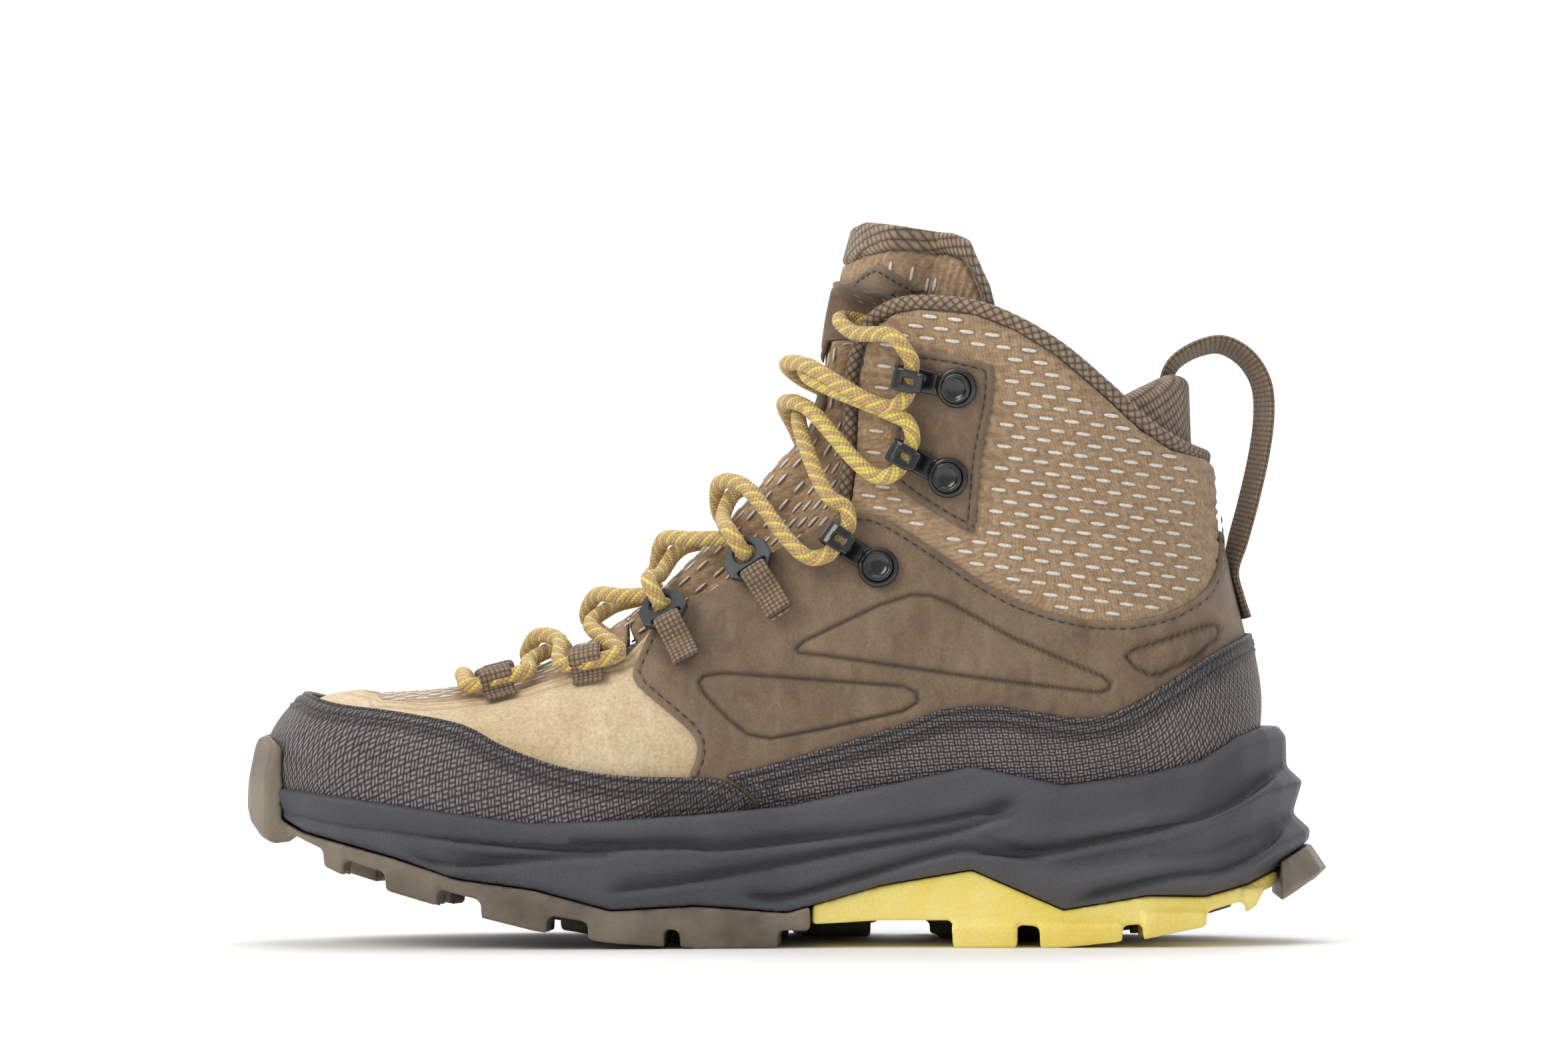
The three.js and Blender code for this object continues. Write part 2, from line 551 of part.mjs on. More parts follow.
const RIVET_SHANK = 1.9;
const rivetDepth = -quarterLayer[1] - GAP - 0.6;
const rivetBody = toSolid(turned([
  [0, rivetDepth - 1.4], [RIVET_SHANK, rivetDepth - 1.4], [RIVET_SHANK, PLATE + GAP], [3.9, PLATE + 1.1],
    [3.7, PLATE + 1.9],
  [2.5, PLATE + 1.6], [0, PLATE + 0.9],
], 8));
const washerBody = turned([
  [RIVET_SHANK + GAP, rivetDepth - 1.2], [4.2, rivetDepth - 1.2], [4.2, rivetDepth - 0.2],
    [RIVET_SHANK + GAP, rivetDepth - 0.2],
  [RIVET_SHANK + GAP, rivetDepth - 1.2],
], 8);
const rivetBore = toSolid(turned([[0, -14], [RIVET_SHANK + GAP, -14], [RIVET_SHANK + GAP, 1], [0, 1]], 8));

// Lace ring: an octagon with a round lace hole and a slot for its strap; origin at the ring's centre
const RING_THICK = 1.8;
const ringShape = new THREE.Shape();
for (let k = 0; k < 8; k += 1) {
  const a = Math.PI / 8 + (Math.PI * k) / 4;
  const r = RING_SIZE / 2 / Math.cos(Math.PI / 8);
  ringShape[k ? 'lineTo' : 'moveTo'](r * Math.cos(a), r * Math.sin(a));
}
ringShape.closePath();
const laceHole = new THREE.Path().absarc(-1.9, 0, LACE_DIAMETER / 2 + 0.95, 0, Math.PI * 2, true);
const strapSlot = new THREE.Path([[2.3, -4.2], [2.3, 4.2], [4.4, 4.2],
  [4.4, -4.2]].map(([x, y]) => new THREE.Vector2(x, y)));
ringShape.holes.push(laceHole, strapSlot);
const ringPlate = () => new THREE.ExtrudeGeometry(ringShape,
  { depth: RING_THICK, bevelEnabled: false, curveSegments: 10 })
  .translate(0, 0, -RING_THICK / 2);
const RING_BAR = 5.4; // centre of the bar that the strap wraps

// Strap: two plies around the bar, sewn together behind it; z = 0 is the ring's middle plane
const strapProfile = [[2.7, -0.6], [3.3, -1.7], [4.6, -2.2], [8.6, -3.2], [17.5, -3.4], [17.5, -1.8],
  [10, -1.5], [7.6, 1.2], [6, 2.1], [3.6, 2.1], [2.7, 1.2]];
const strapHole = [[3.6, -0.9], [3.6, 1], [4.2, 1.3], [6.2, 1.3], [7.4, 0.2], [8, -1.6], [6.4, -1.4],
  [4.6, -1.3]];

// Webbing tunnel on the vamp; z = 0 lies on the suede, the lace runs along local y
const tunnelHalf = LACE_DIAMETER / 2 + 0.55;
const tunnelTop = LACE_DIAMETER + 1.6;
const loopProfile = [
  [-tunnelHalf - 1.8, 0.1], [tunnelHalf + 1.8, 0.1], [tunnelHalf + 1.8, 1], [tunnelHalf + 1, 1.4],
    [tunnelHalf + 0.9, tunnelTop - 1],
  [tunnelHalf - 0.5, tunnelTop + 0.7], [-tunnelHalf + 0.5, tunnelTop + 0.7],
    [-tunnelHalf - 0.9, tunnelTop - 1],
  [-tunnelHalf - 1, 1.4], [-tunnelHalf - 1.8, 1],
];
const loopHole = [
  [-tunnelHalf, 0.9], [-tunnelHalf, tunnelTop - 1], [-tunnelHalf + 1, tunnelTop],
    [tunnelHalf - 1, tunnelTop],
  [tunnelHalf, tunnelTop - 1], [tunnelHalf, 0.9],
];

// Tongue: thick over the instep, with wings under the facings; lifts are from the last's surface
const tongueStart = -41.6;
const tongueCrown = (u) => mix(4, 5.6, smooth(9, 13, u)) - 1.6 * smooth(13, 14.4,
  u) * (1 - smooth(15, 16.5, u));
const wingLift = (u) => mix(-0.9, -6.4, smooth(15, 18.5, u));
// The crown narrows where the facings and the lace ends pass beside it, and widens above the collar
const crownFoot = (u) => 0.87 + 0.01 * smooth(12.5, 14.5, u) + 0.06 * smooth(18, 19,
  u) * (1 - smooth(20.6, 21.4, u)) - 0.14 * smooth(21.2, 22.6, u);
const tongueLift = (u, t) => mix(wingLift(u), tongueCrown(u), smooth(crownFoot(u), crownFoot(u) + 0.06, t));
const tongueInner = (u, t) => tongueLift(u, t) - 1 - mix(2.6, 4.6, smooth(0.8, 0.92, t)) * smooth(8, 10.5,
  u);
const tongueOutline = [
  [tongueStart, 60], [-20, 60], [-8, 84], [10, 100], [30, 122], [44, 140], [48.5, 155], [49.5, 166.5],
    [47.9, 171.7],
  [44.7, 177.9], [42.5, 181.6], [38, 183.2], [30.2, 184.2], [22.9, 185.6], [17.8, 183], [12, 178],
    [0, 178], [-60, 130], [tongueStart, 100],
];
const tongueCore = grown(tongueLift).subtract(grown(tongueInner)).intersect(sidePrism(tongueOutline));
const patchOutline = [[-2, 141], [10.6, 141], [11.6, 150], [14.2, 160], [19, 167.6], [33.8, 168.2],
  [29.1, 172.8], [26, 177.6], [23.9, 178.6], [20.8, 177], [16.6, 174.4], [5, 173]];
const patchLift = [(u, t) => tongueLift(u, t) + 0.35, (u, t) => tongueLift(u, t) + 1.5];
const tonguePatch = grown(patchLift[1]).subtract(grown(patchLift[0])).intersect(sidePrism(patchOutline));
const edgeOutline = [
  [10, 178.6], [17.4, 183.5], [22.9, 186.1], [30.2, 184.7], [38, 183.7], [42.9, 182], [45.2, 178],
    [48.4, 171.9],
  [50, 166.5], [49, 155], [48, 150], [50.4, 150], [52.4, 158], [53, 166.5], [51, 173], [47.4, 179.4],
    [44, 185.4], [38.5, 187.6], [30.2, 188.8],
  [22.9, 190], [18, 187.5], [15, 183.5], [10, 181.5],
];
const tongueEdge = grown((u, t) => tongueLift(u, t) + 0.6)
  .subtract(grown((u, t) => tongueInner(u, t) - 0.5))
  .intersect(sidePrism(edgeOutline));

// Upper panels
const padOutline = [
  [79, 140], [85.3, 142.5], [92.6, 146.3], [100.9, 150.2], [105.5, 149.4], [108.6, 145.7], [110, 141],
    [112, 128], [112, 118], [86, 122],
];
const padBulge = (u, t) => -4 * smooth(15, 17, u) * smooth(0.25, 0.38,
  t) * (1 - smooth(0.52, 0.6, t)) * (1 - smooth(18.2, 20.4, u));
const heelPad = grown(-GAP).subtract(grown(-7)).intersect(sidePrism(padOutline));
const upperLine = [...shifted(throatLine, 1, -1.8), ...facingLine.slice(1), ...collarLine.slice(1)];
const openTop = [...upperLine, [130, 120], [130, 0], [-150, 0], [-150, 80], [-60, 95]];
const lining = grown(LINING).subtract(grown(padBulge)).intersect(sidePrism(openTop));
const shellOutline = (back) => [
  ...reversed(collarLine).map(([x, z]) => [x === 116 ? back : x, z]), ...reversed(facingLine).slice(1),
    ...reversed(throatLine.slice(3)).slice(1),
  [-14.6, 40], ...tuckLine.filter(([x]) => x > -14 && x < 66), [66, 77.5], [back, 79],
];
const quarterOutline = [
  ...quarterFrontLine, ...tuckLine.filter(([x]) => x > -22 && x < 139), [139, 60], [125, 84], [121, 113.5],
  ...reversed(quarterTopLine), ...reversed(throatLine).slice(1, -1),
];
const shellBody = (yFrom, yTo) => panel(shellLayer, shellOutline(122), yFrom, yTo);
const quarter = (yFrom, yTo) => panel(quarterLayer, quarterOutline, yFrom, yTo);
const suedeOutline = [
  [-131.5, 66], [-126, 70], ...vampWindowLine, [-42.5, 75.7], ...throatLine.slice(1, 3), [-26, 84],
    [-16, 75], [-16, 40],
  ...reversed(tuckLine.filter(([x]) => x < -16 && x > -130)), [-132, 46],
];
const meshOutline = [[-112.5, 56], [-44, 60], [-42.4, 78], [-42.4, 100], [-112.5, 80]];
const frontRandOutline = [[-150, 66], ...frontRandTop, ...reversed(tuckLine.filter(([x]) => x < -9)),
  [-150, 36]];
const rearRandOutline = [...rearRandTop, [139, 84], [139, 42],
  ...reversed(tuckLine.filter(([x]) => x > -7 && x < 139)),
  [-7.4, 30], [-7.4, 38], [-10.7, 41.3]];
const patchShape = [
  [27.7, 153.4], [31.6, 156.1], [41, 155.2], [52.2, 152.5], [53.7, 150], [53.3, 142.3], [50.6, 128],
    [48.9, 109.9],
  [47.4, 108.6], [40.4, 112.2], [30.8, 118.6], [25.6, 124], [26.8, 128], [28.5, 143.8],
];
// The patch stays clear of the quarter's top edge, which is on the same layer
const patchClear = [...shifted(quarterTopLine, 0, 0.4), [120, 60], [0, 60]];

// Binding tube around the facings and the collar
function bindingCurve() {
  const edge = [...facingLine.slice(0, -1), ...collarLine.slice(0, -1)];
  const lift = LINING + 0.3;
  const step = BINDING_DIAMETER / 2 + 0.35;
  const side = (sign) => edge.map(([x, z], k) => {
    const before = edge[Math.max(k - 1, 0)];
    const after = edge[Math.min(k + 1, edge.length - 1)];
    const out = new THREE.Vector2(before[1] - after[1], after[0] - before[0]).normalize();
    return findOnSkin(x + (out.x * step) / LENGTH_SCALE, z + (out.y * step) / HEIGHT_SCALE, sign, lift).p;
  });
  const back = findOnSkin(111, 131.4, -1, lift);
  back.p.y = 0;
  return new THREE.CatmullRomCurve3([...side(-1), back.p, ...reversed(side(1))]);
}

function tube(curve, diameter, sides, steps) {
  const section = new THREE.Shape();
  for (let k = 0; k < sides; k += 1) {
    const a = (Math.PI * 2 * (k + 0.5)) / sides;
    section[k ? 'lineTo' : 'moveTo']((diameter / 2) * Math.cos(a), (diameter / 2) * Math.sin(a));
  }
  section.closePath();
  return new THREE.ExtrudeGeometry(section, { steps, extrudePath: curve, bevelEnabled: false });
}

// Pull loop: a flat strap from the heel's back up to the pad
const LOOP_STRAP = 15;
const loopCentre = [
  [103.6, 154.2], [109.3, 157.3], [115.5, 158.1], [121.7, 154.4], [125.9, 147.8], [126.9, 139.4],
    [125.8, 129],
  [123.4, 116.5], [122.4, 106.1], [123.2, 95.7], [125, 85.6],
];
function strapFrom(centre, thickness, width) {
  const curve = new THREE.SplineCurve(centre.map(sized).map(([x, z]) => new THREE.Vector2(x, z)));
  const near = [];
  const far = [];
  const steps = 26;
  for (let k = 0; k <= steps; k += 1) {
    const p = curve.getPoint(k / steps);
    const d = curve.getTangent(k / steps);
    near.push([p.x + (d.y * thickness) / 2, p.y - (d.x * thickness) / 2]);
    far.push([p.x - (d.y * thickness) / 2, p.y + (d.x * thickness) / 2]);
  }
  return profileAlongY([...near, ...reversed(far)], width);
}

// Colours and finishes
const finish = (color, roughness, metalness = 0) => ({ color, roughness, metalness });
const finishes = {
  nubuck: finish(0x6f5f50, 0.9),
  suede: finish(0xd2b891, 0.95),
  softshell: finish(0xb0926e, 0.9),
  knit: finish(0x6b5a4a, 0.95),
  nylon: finish(0x4a4446, 0.7),
  foam: finish(0x55565a, 0.75),
  rubber: finish(0x6e6353, 0.8),
  yellow: finish(0xf9ef8f, 0.5),
  lining: finish(0x4b4038, 0.95),
  board: finish(0x8a7a62, 0.9),
  lace: finish(0xcaa772, 0.8),
  metal: finish(0x1c2226, 0.35, 0.9),
  plastic: finish(0x22282b, 0.5),
};

const boot = new THREE.Group();
function put(name, geometry, look) {
  const mesh = new THREE.Mesh(geometry, new THREE.MeshStandardMaterial(finishes[look]));
  mesh.name = name;
  boot.add(mesh);
  return mesh;
}
const putSolid = (name, solid, look) => put(name, toGeometry(solid), look);

const sides = [['medial', -1], ['lateral', 1]];
const hookFrames = [];
for (const [, sign] of sides) {
  hookPlaces.forEach(({ at, to, base }) => hookFrames.push(skinFrame(at, to, sign, base + GAP)));
}
const bores = hookFrames.map((frame) => rivetBore.transform(frame.toArray())).reduce((sum,
  next) => sum.add(next));

const forefoot = forefootPlate.add(foreTread.intersect(foreCut)).subtract(midsoleClear);
putSolid('outsole_forefoot', forefoot.subtract(grown(upperOuter)).add(bumper), 'rubber');
putSolid('outsole_heel', heelPlate.add(heelTread.intersect(heelCut)).subtract(midsoleClear).add(heelEnd),
  'rubber');
putSolid('outsole_insert', insertPlate.add(insertTread.intersect(insertCut)).subtract(midsoleClear),
  'yellow');
putSolid('midsole', midsoleSolid.subtract(grown(cupLift)).subtract(shank(GAP)), 'foam');
putSolid('shank_plate', shank(0), 'plastic');
const boardOutline = [...soleLine.slice(2).map(([x, z]) => [x, z - 2.2]), [104, 20], [-124, 20]];
putSolid('insole_board', panel([LINING + GAP, LINING + GAP + 1], boardOutline), 'board');
const footbedOutline = [...soleLine.slice(2, -1).map(([x, z]) => [x, z + 4.4]), [97, 43.5], [97, 20],
  [-124, 20]];
putSolid('footbed', grown(-0.4).intersect(sidePrism(footbedOutline)), 'board');
putSolid('inner_bootie', lining.subtract(bores), 'lining');
putSolid('toe_puff', panel(sheetLayer, [[-140, 43], [-119, 43], [-113, 70], [-140, 70]]), 'board');
putSolid('heel_counter', panel(sheetLayer,
  [[68, 46], [96, 47], [108, 53], [130, 53], [130, 78.4], [112, 77], [68, 75]]), 'board');
putSolid('heel_pad', heelPad, 'knit');
putSolid('vamp_mesh', panel(sheetLayer, meshOutline), 'softshell');
putSolid('vamp_suede', panel(suedeLayer, suedeOutline), 'suede');
putSolid('body_medial', shellBody(-90, -0.2).subtract(bores), 'softshell');
putSolid('body_lateral', shellBody(0.2, 90).subtract(bores), 'softshell');
putSolid('quarter_medial', quarter(-90, -0.2).subtract(bores), 'nubuck');
putSolid('quarter_lateral', quarter(0.2, 90).subtract(bores), 'nubuck');
putSolid('front_rand', panel(randLayer, frontRandOutline), 'nylon');
putSolid('rear_rand', panel(randLayer, rearRandOutline), 'nylon');
for (const [label, sign] of sides) {
  const [from, to] = sign < 0 ? [-90, 0] : [0, 90];
  const patch = panel(quarterLayer, patchShape, from, to).subtract(sidePrism(patchClear)).subtract(bores);
  putSolid(`eyelet_patch_${label}`, patch, 'nubuck');
}
put('collar_binding', tube(bindingCurve(), BINDING_DIAMETER, 8, 44), 'knit');
putSolid('tongue_pad', tongueCore, 'softshell');
putSolid('tongue_patch', tonguePatch, 'nubuck');
putSolid('tongue_binding', tongueEdge, 'knit');
put('pull_loop', strapFrom(loopCentre, 1.4, LOOP_STRAP), 'knit');

hookFrames.forEach((frame, k) => {
  putSolid(`hook_${k + 1}`, hookBody.transform(frame.toArray()), 'metal');
  putSolid(`hook_rivet_${k + 1}`, rivetBody.transform(frame.toArray()), 'metal');
  put(`hook_washer_${k + 1}`, washerBody.clone().applyMatrix4(frame), 'metal');
});

// Vamp tunnels, lace along x
const loopPlaces = [[-76.4, 66.9], [-51.8, 72.6]];
const ringPlaces = [{ at: [-32.6, 88.2], to: [-29.2, 81.2] }, { at: [-10.4, 101.4], to: [-6.6, 95] }];
const RING_HEIGHT = quarterLayer[1] + 4.3; // lift of the ring's middle plane
let loopCount = 0;
let ringCount = 0;
const ringFrames = { medial: [], lateral: [] };
const tunnelPoints = {};
for (const [label, sign] of sides) {
  tunnelPoints[label] = [];
  for (const [x, z] of loopPlaces) {
    loopCount += 1;
    const frame = skinFrame([x, z], [x - 8, z - 1.6], sign, suedeLayer[1] + 0.35);
    frame.multiply(new THREE.Matrix4().makeRotationZ(Math.PI / 2));
    put(`lace_loop_${loopCount}`, profileAlongY(loopProfile, LOOP_WIDTH, [loopHole]).applyMatrix4(frame),
      'knit');
    const way = new THREE.Vector3(0, 1, 0).transformDirection(frame).x < 0 ? 1 : -1;
    for (const y of [1.5, -2].map((share) => (share * LACE_DIAMETER) / 4.2)) {
      tunnelPoints[label].push(new THREE.Vector3(0, (way * y * LOOP_WIDTH) / 2,
        0.9 + 0.15 + LACE_DIAMETER / 2).applyMatrix4(frame));
    }
  }
}
for (const [label, sign] of sides) {
  for (const { at, to } of ringPlaces) {
    ringCount += 1;
    const frame = skinFrame(at, to, sign, RING_HEIGHT);
    ringFrames[label].push(frame);
    put(`lace_ring_${ringCount}`, ringPlate().applyMatrix4(frame), 'plastic');
    put(`ring_strap_${ringCount}`, profileAlongY(strapProfile, STRAP_WIDTH,
      [strapHole]).applyMatrix4(frame), 'knit');
  }
}

// Lace: half A starts on the inner side, half B is the same route with the sides exchanged
const on = (u, t, side, lift) => skinPoint(u, t, side, lift);
const local = (frame, x, y, z) => new THREE.Vector3(x, y, z).applyMatrix4(frame);
const hookPath = (index, tail) => {
  const frame = hookFrames[index];
  const up = new THREE.Vector3(0, 1, 0).transformDirection(frame).z > 0 ? 1 : -1;
  const inChannel = PLATE + CHANNEL / 2;
  const into = [[21, -8, 3], [15.6, -8, 3.6], [12.4, -4.6, inChannel], [12.4, 0, inChannel],
    [12.4, 4.6, inChannel]];
  const out = tail ? [[15.2, 7.8, 3.7], [18.6, 10.2, 3.2]] : [[15.6, 8, 3.6], [21, 8, 3]];
  return [...into, ...out].map(([x, y, z]) => local(frame, x, y * up, z));
};
const ringPath = (frame) => [[-8.6, -3.7], [-3.6, -3.2], [-1.9, -0.6], [-2.1, 2.6],
  [-6, 5.8]].map(([x, z]) => local(frame, x, 0, z));

// A thicker lace, thicker layers and a longer boot raise the lace off the last
const laceRaise = quarterLayer[1] - 7 + (LACE_DIAMETER - 4.2) / 2 + 2 * (LENGTH_SCALE - 1);

function laceHalf(first) {
  const side = (pair) => (pair % 2 ? first : -first);
  const key = (pair) => (side(pair) < 0 ? 'medial' : 'lateral');
  const hook = (pair, tail) => hookPath((side(pair) < 0 ? 0 : 3) + pair - 5, tail);
  // From pair to pair + 1 over the ridge; the strand that comes from the outer side lies on top
  const cross = (pair, u, over, spread = 0.35) => {
    const lift = over + laceRaise;
    const rise = side(pair) > 0 ? LACE_DIAMETER + 0.5 : 0;
    return [
      on(u - spread, 0.92, side(pair), lift + 0.3 + rise * 0.45),
      on(u, 1, 1, lift + rise),
      on(u + spread, 0.92, -side(pair), lift + 0.3 + rise * 0.45),
    ];
  };
  const s = side(7);
  return [
    ...tunnelPoints[key(1)].slice(0, 2),
    ...cross(1, 8.05, 7),
    ...tunnelPoints[key(2)].slice(2, 4),
    ...cross(2, 9.35, 8.6),
    ...ringPath(ringFrames[key(3)][0]),
    ...cross(3, 10.75, 8.8),
    ...ringPath(ringFrames[key(4)][1]),
    ...cross(4, 12.1, 9),
    ...hook(5, false),
    ...cross(5, 14.6, 8),
    ...hook(6, false),
    ...cross(6, 16.7, 11),
    ...hook(7, true),
    on(19.9, 0.83, s, 8.6 + laceRaise), on(19.85, 0.88, s, 7.8 + laceRaise), on(19.8, 0.918, s, 4.6),
    on(19.8, 0.92, s, 0.6), on(19.8, 0.89, s, -2.7), on(19.7, 0.84, s, -3.5), on(19.2, 0.75, s, -3.4),
    on(18.7, 0.67, s, -3.6), on(18.3, 0.6, s, -7), on(17.4, 0.53, s, -11),
    on(16, 0.46, s, -14), on(14.4, 0.42, s, -14.5), on(12.9, 0.37, s, -14),
  ];
}

// The lace's steps fall on the route's own points, so that the tight bends keep their shape
class RouteCurve extends THREE.CatmullRomCurve3 {
  getUtoTmapping(u) {
    return u;
  }
}
const barLift = 7.3 + laceRaise;
const bar = [on(6.4, 0.91, 1, barLift), on(6.35, 1, 1, barLift), on(6.4, 0.91, -1, barLift)];
const laceRoute = [...laceHalf(1).reverse(), ...bar, ...laceHalf(-1)];
const laceCurve = new RouteCurve(laceRoute, false, 'centripetal');
put('lace', tube(laceCurve, LACE_DIAMETER, 8, laceRoute.length - 1), 'lace');

const TIP_LENGTH = 18;
[[0, 1], [laceRoute.length - 1, laceRoute.length - 2]].forEach(([end, before], k) => {
  const dir = laceRoute[end].clone().sub(laceRoute[before]).normalize();
  const start = laceRoute[end].clone().addScaledVector(dir, GAP);
  const tip = new THREE.CylinderGeometry(1.7, 1.7, TIP_LENGTH, 8).translate(0, TIP_LENGTH / 2, 0);
  tip.applyQuaternion(new THREE.Quaternion().setFromUnitVectors(new THREE.Vector3(0, 1, 0), dir));
  put(`lace_tip_${k + 1}`, tip.translate(start.x, start.y, start.z), 'plastic');
});

// The origin is the bottom centre of the boot without its lace
const box = new THREE.Box3();
const isCord = ({ name }) => ['lace', 'lace_tip_1', 'lace_tip_2'].includes(name);
boot.children.filter((mesh) => !isCord(mesh)).forEach((mesh) => box.expandByObject(mesh, true));
const centre = box.getCenter(new THREE.Vector3());
boot.children.forEach((mesh) => mesh.position.set(-centre.x, -centre.y, -box.min.z));
export default boot;
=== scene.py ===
import bpy
import bmesh
import math
import numpy as np
from mathutils import Matrix, Vector, kdtree


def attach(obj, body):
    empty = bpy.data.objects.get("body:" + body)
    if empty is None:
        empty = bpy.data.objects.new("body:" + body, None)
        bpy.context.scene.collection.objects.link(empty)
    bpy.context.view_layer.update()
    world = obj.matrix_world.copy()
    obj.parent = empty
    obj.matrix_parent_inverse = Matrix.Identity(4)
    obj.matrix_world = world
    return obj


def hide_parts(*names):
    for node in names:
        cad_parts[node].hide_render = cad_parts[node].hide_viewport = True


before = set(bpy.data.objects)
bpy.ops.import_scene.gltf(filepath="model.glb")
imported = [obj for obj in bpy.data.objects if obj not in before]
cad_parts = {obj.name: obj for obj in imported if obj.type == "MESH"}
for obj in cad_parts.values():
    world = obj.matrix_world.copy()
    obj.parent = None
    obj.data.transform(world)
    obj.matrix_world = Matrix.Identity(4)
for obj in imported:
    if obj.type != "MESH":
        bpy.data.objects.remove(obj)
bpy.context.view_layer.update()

# Laced hiking boot, right foot. Lengths below are millimetres in the last's own frame until toMetres().
shift = np.array([-0.1, -0.6, 0.0])  # the last's frame to the row frame


def toMetres(points):
    return (np.asarray(points, float) + shift) * 0.001


def smoothStep(low, high, x):
    share = np.clip((np.asarray(x, float) - low) / (high - low), 0, 1)
    return share * share * (3 - 2 * share)


def mixed(a, b, share):
    return a + (b - a) * share


# Camera, lights and floor
view = {"lens": 200, "distance": 2311, "aimX": -1.06, "aimZ": 111, "sensor": 36}

cameraData = bpy.data.cameras.new("camera")
cameraData.lens = view["lens"]
cameraData.sensor_width = view["sensor"]
cameraData.clip_end = 50
camera = bpy.data.objects.new("camera", cameraData)
bpy.context.scene.collection.objects.link(camera)
camera.location = (view["aimX"] * 0.001, -view["distance"] * 0.001, view["aimZ"] * 0.001)
camera.rotation_euler = (math.radians(90), 0, 0)
bpy.context.scene.camera = camera


def linear(hexColour):
    parts = [int(hexColour[k:k + 2], 16) / 255 for k in (1, 3, 5)]
    return tuple(p / 12.92 if p <= 0.04045 else ((p + 0.055) / 1.055) ** 2.4 for p in parts) + (1.0,)


def addNode(tree, kind, settings=None, inputs=None, output=None, to=None):
    # one node with its settings and links; gives the node, or the output that is asked for
    node = tree.nodes.new("ShaderNode" + kind)
    for name, value in (settings or {}).items():
        if name == "stops":
            elements = node.color_ramp.elements
            while len(elements) < len(value):
                elements.new(0.5)
            for element, (position, colour) in zip(elements, value):
                element.position = position
                element.color = linear(colour) if isinstance(colour, str) else (colour, colour, colour, 1)
        else:
            setattr(node, name, value)
    for name, value in (inputs or {}).items():
        if isinstance(value, bpy.types.NodeSocket):
            tree.links.new(value, node.inputs[name])
        else:
            node.inputs[name].default_value = linear(value) if isinstance(value, str) else value
    if to is not None:
        tree.links.new(node.outputs[output], to)
    return node if output is None else node.outputs[output]


# The last: every panel of the upper lies on it
# sole x, sole z, instep x, instep z, inner half, outer half, flat share, widest height, roundness, centre y
stations = np.array([
    [-130.5, 42, -130.5, 47, 0, 0, 0.75, 0.4, 2.2, -7],
    [-128, 40, -129, 51.5, 10, 10, 0.75, 0.4, 2.2, -7],
    [-124.5, 38.5, -126, 56, 17.5, 17.5, 0.76, 0.4, 2.2, -7],
    [-119, 37, -121, 60, 24.5, 24.5, 0.77, 0.38, 2.2, -6.6],
    [-111, 35.5, -113, 61.6, 31, 30.5, 0.78, 0.36, 2.2, -6],
    [-101, 34, -103, 62, 35, 35, 0.79, 0.34, 2.2, -5],
    [-88, 31.5, -90, 63, 38, 38.5, 0.8, 0.32, 2.1, -4],
    [-73, 29.5, -76, 65.2, 39.5, 40.5, 0.8, 0.3, 2, -3],
    [-57, 28.5, -62, 70, 39.5, 41.5, 0.78, 0.28, 1.95, -2],
    [-40, 28.5, -48, 77.5, 37, 41.5, 0.76, 0.27, 1.9, -1],
    [-22, 29.5, -34, 87.5, 34, 40, 0.74, 0.26, 1.9, 0],
    [-2, 31.5, -20.5, 99.5, 31.5, 37, 0.72, 0.26, 1.9, 0],
    [20, 34, -9, 111, 30.5, 34, 0.7, 0.26, 1.95, 0],
    [42, 36, 0, 121.5, 30, 32, 0.7, 0.27, 2, 0],
    [64, 37, 7, 131, 29.5, 30.5, 0.7, 0.28, 2.1, 0],
    [86, 38, 12, 140, 29.5, 29.5, 0.66, 0.3, 2.2, 0],
    [104, 41, 14.5, 147, 29.5, 29.5, 0.5, 0.32, 2.3, 0],
    [114, 49, 15.5, 152.5, 29.5, 29.5, 0.28, 0.35, 2.4, 0],
    [117, 62, 16, 157.5, 29.5, 29.5, 0.12, 0.38, 2.4, 0],
    [115.5, 75, 16.6, 162, 29.5, 29.5, 0.05, 0.41, 2.4, 0],
    [112.5, 88, 17.4, 166.5, 30, 30, 0, 0.44, 2.4, 0],
    [109.8, 100, 18.4, 171, 30.5, 30.5, 0, 0.46, 2.4, 0],
    [108.5, 110, 19.5, 175.5, 31, 31, 0, 0.47, 2.4, 0],
    [108, 119, 20.8, 180, 31.5, 31.5, 0, 0.48, 2.4, 0],
    [107.5, 127, 22.2, 185, 32, 32, 0, 0.48, 2.4, 0],
    [107, 140, 24, 191, 32.5, 32.5, 0, 0.48, 2.4, 0],
    [106.5, 154, 26, 199, 33, 33, 0, 0.48, 2.4, 0],
])
lastStation = len(stations) - 1
flatEnd = 0.2
sideEnd = 0.5


def stationAt(u):
    i = np.clip(np.floor(u).astype(int), 0, lastStation - 1)
    f = (u - i)[..., None]
    a, b, d, e = [stations[np.clip(i + k, 0, lastStation)] for k in (-1, 0, 1, 2)]
    p = -a + 3 * b - 3 * d + e
    q = 2 * a - 5 * b + 4 * d - e
    return 0.5 * (2 * b + (d - a) * f + q * f * f + p * f ** 3)


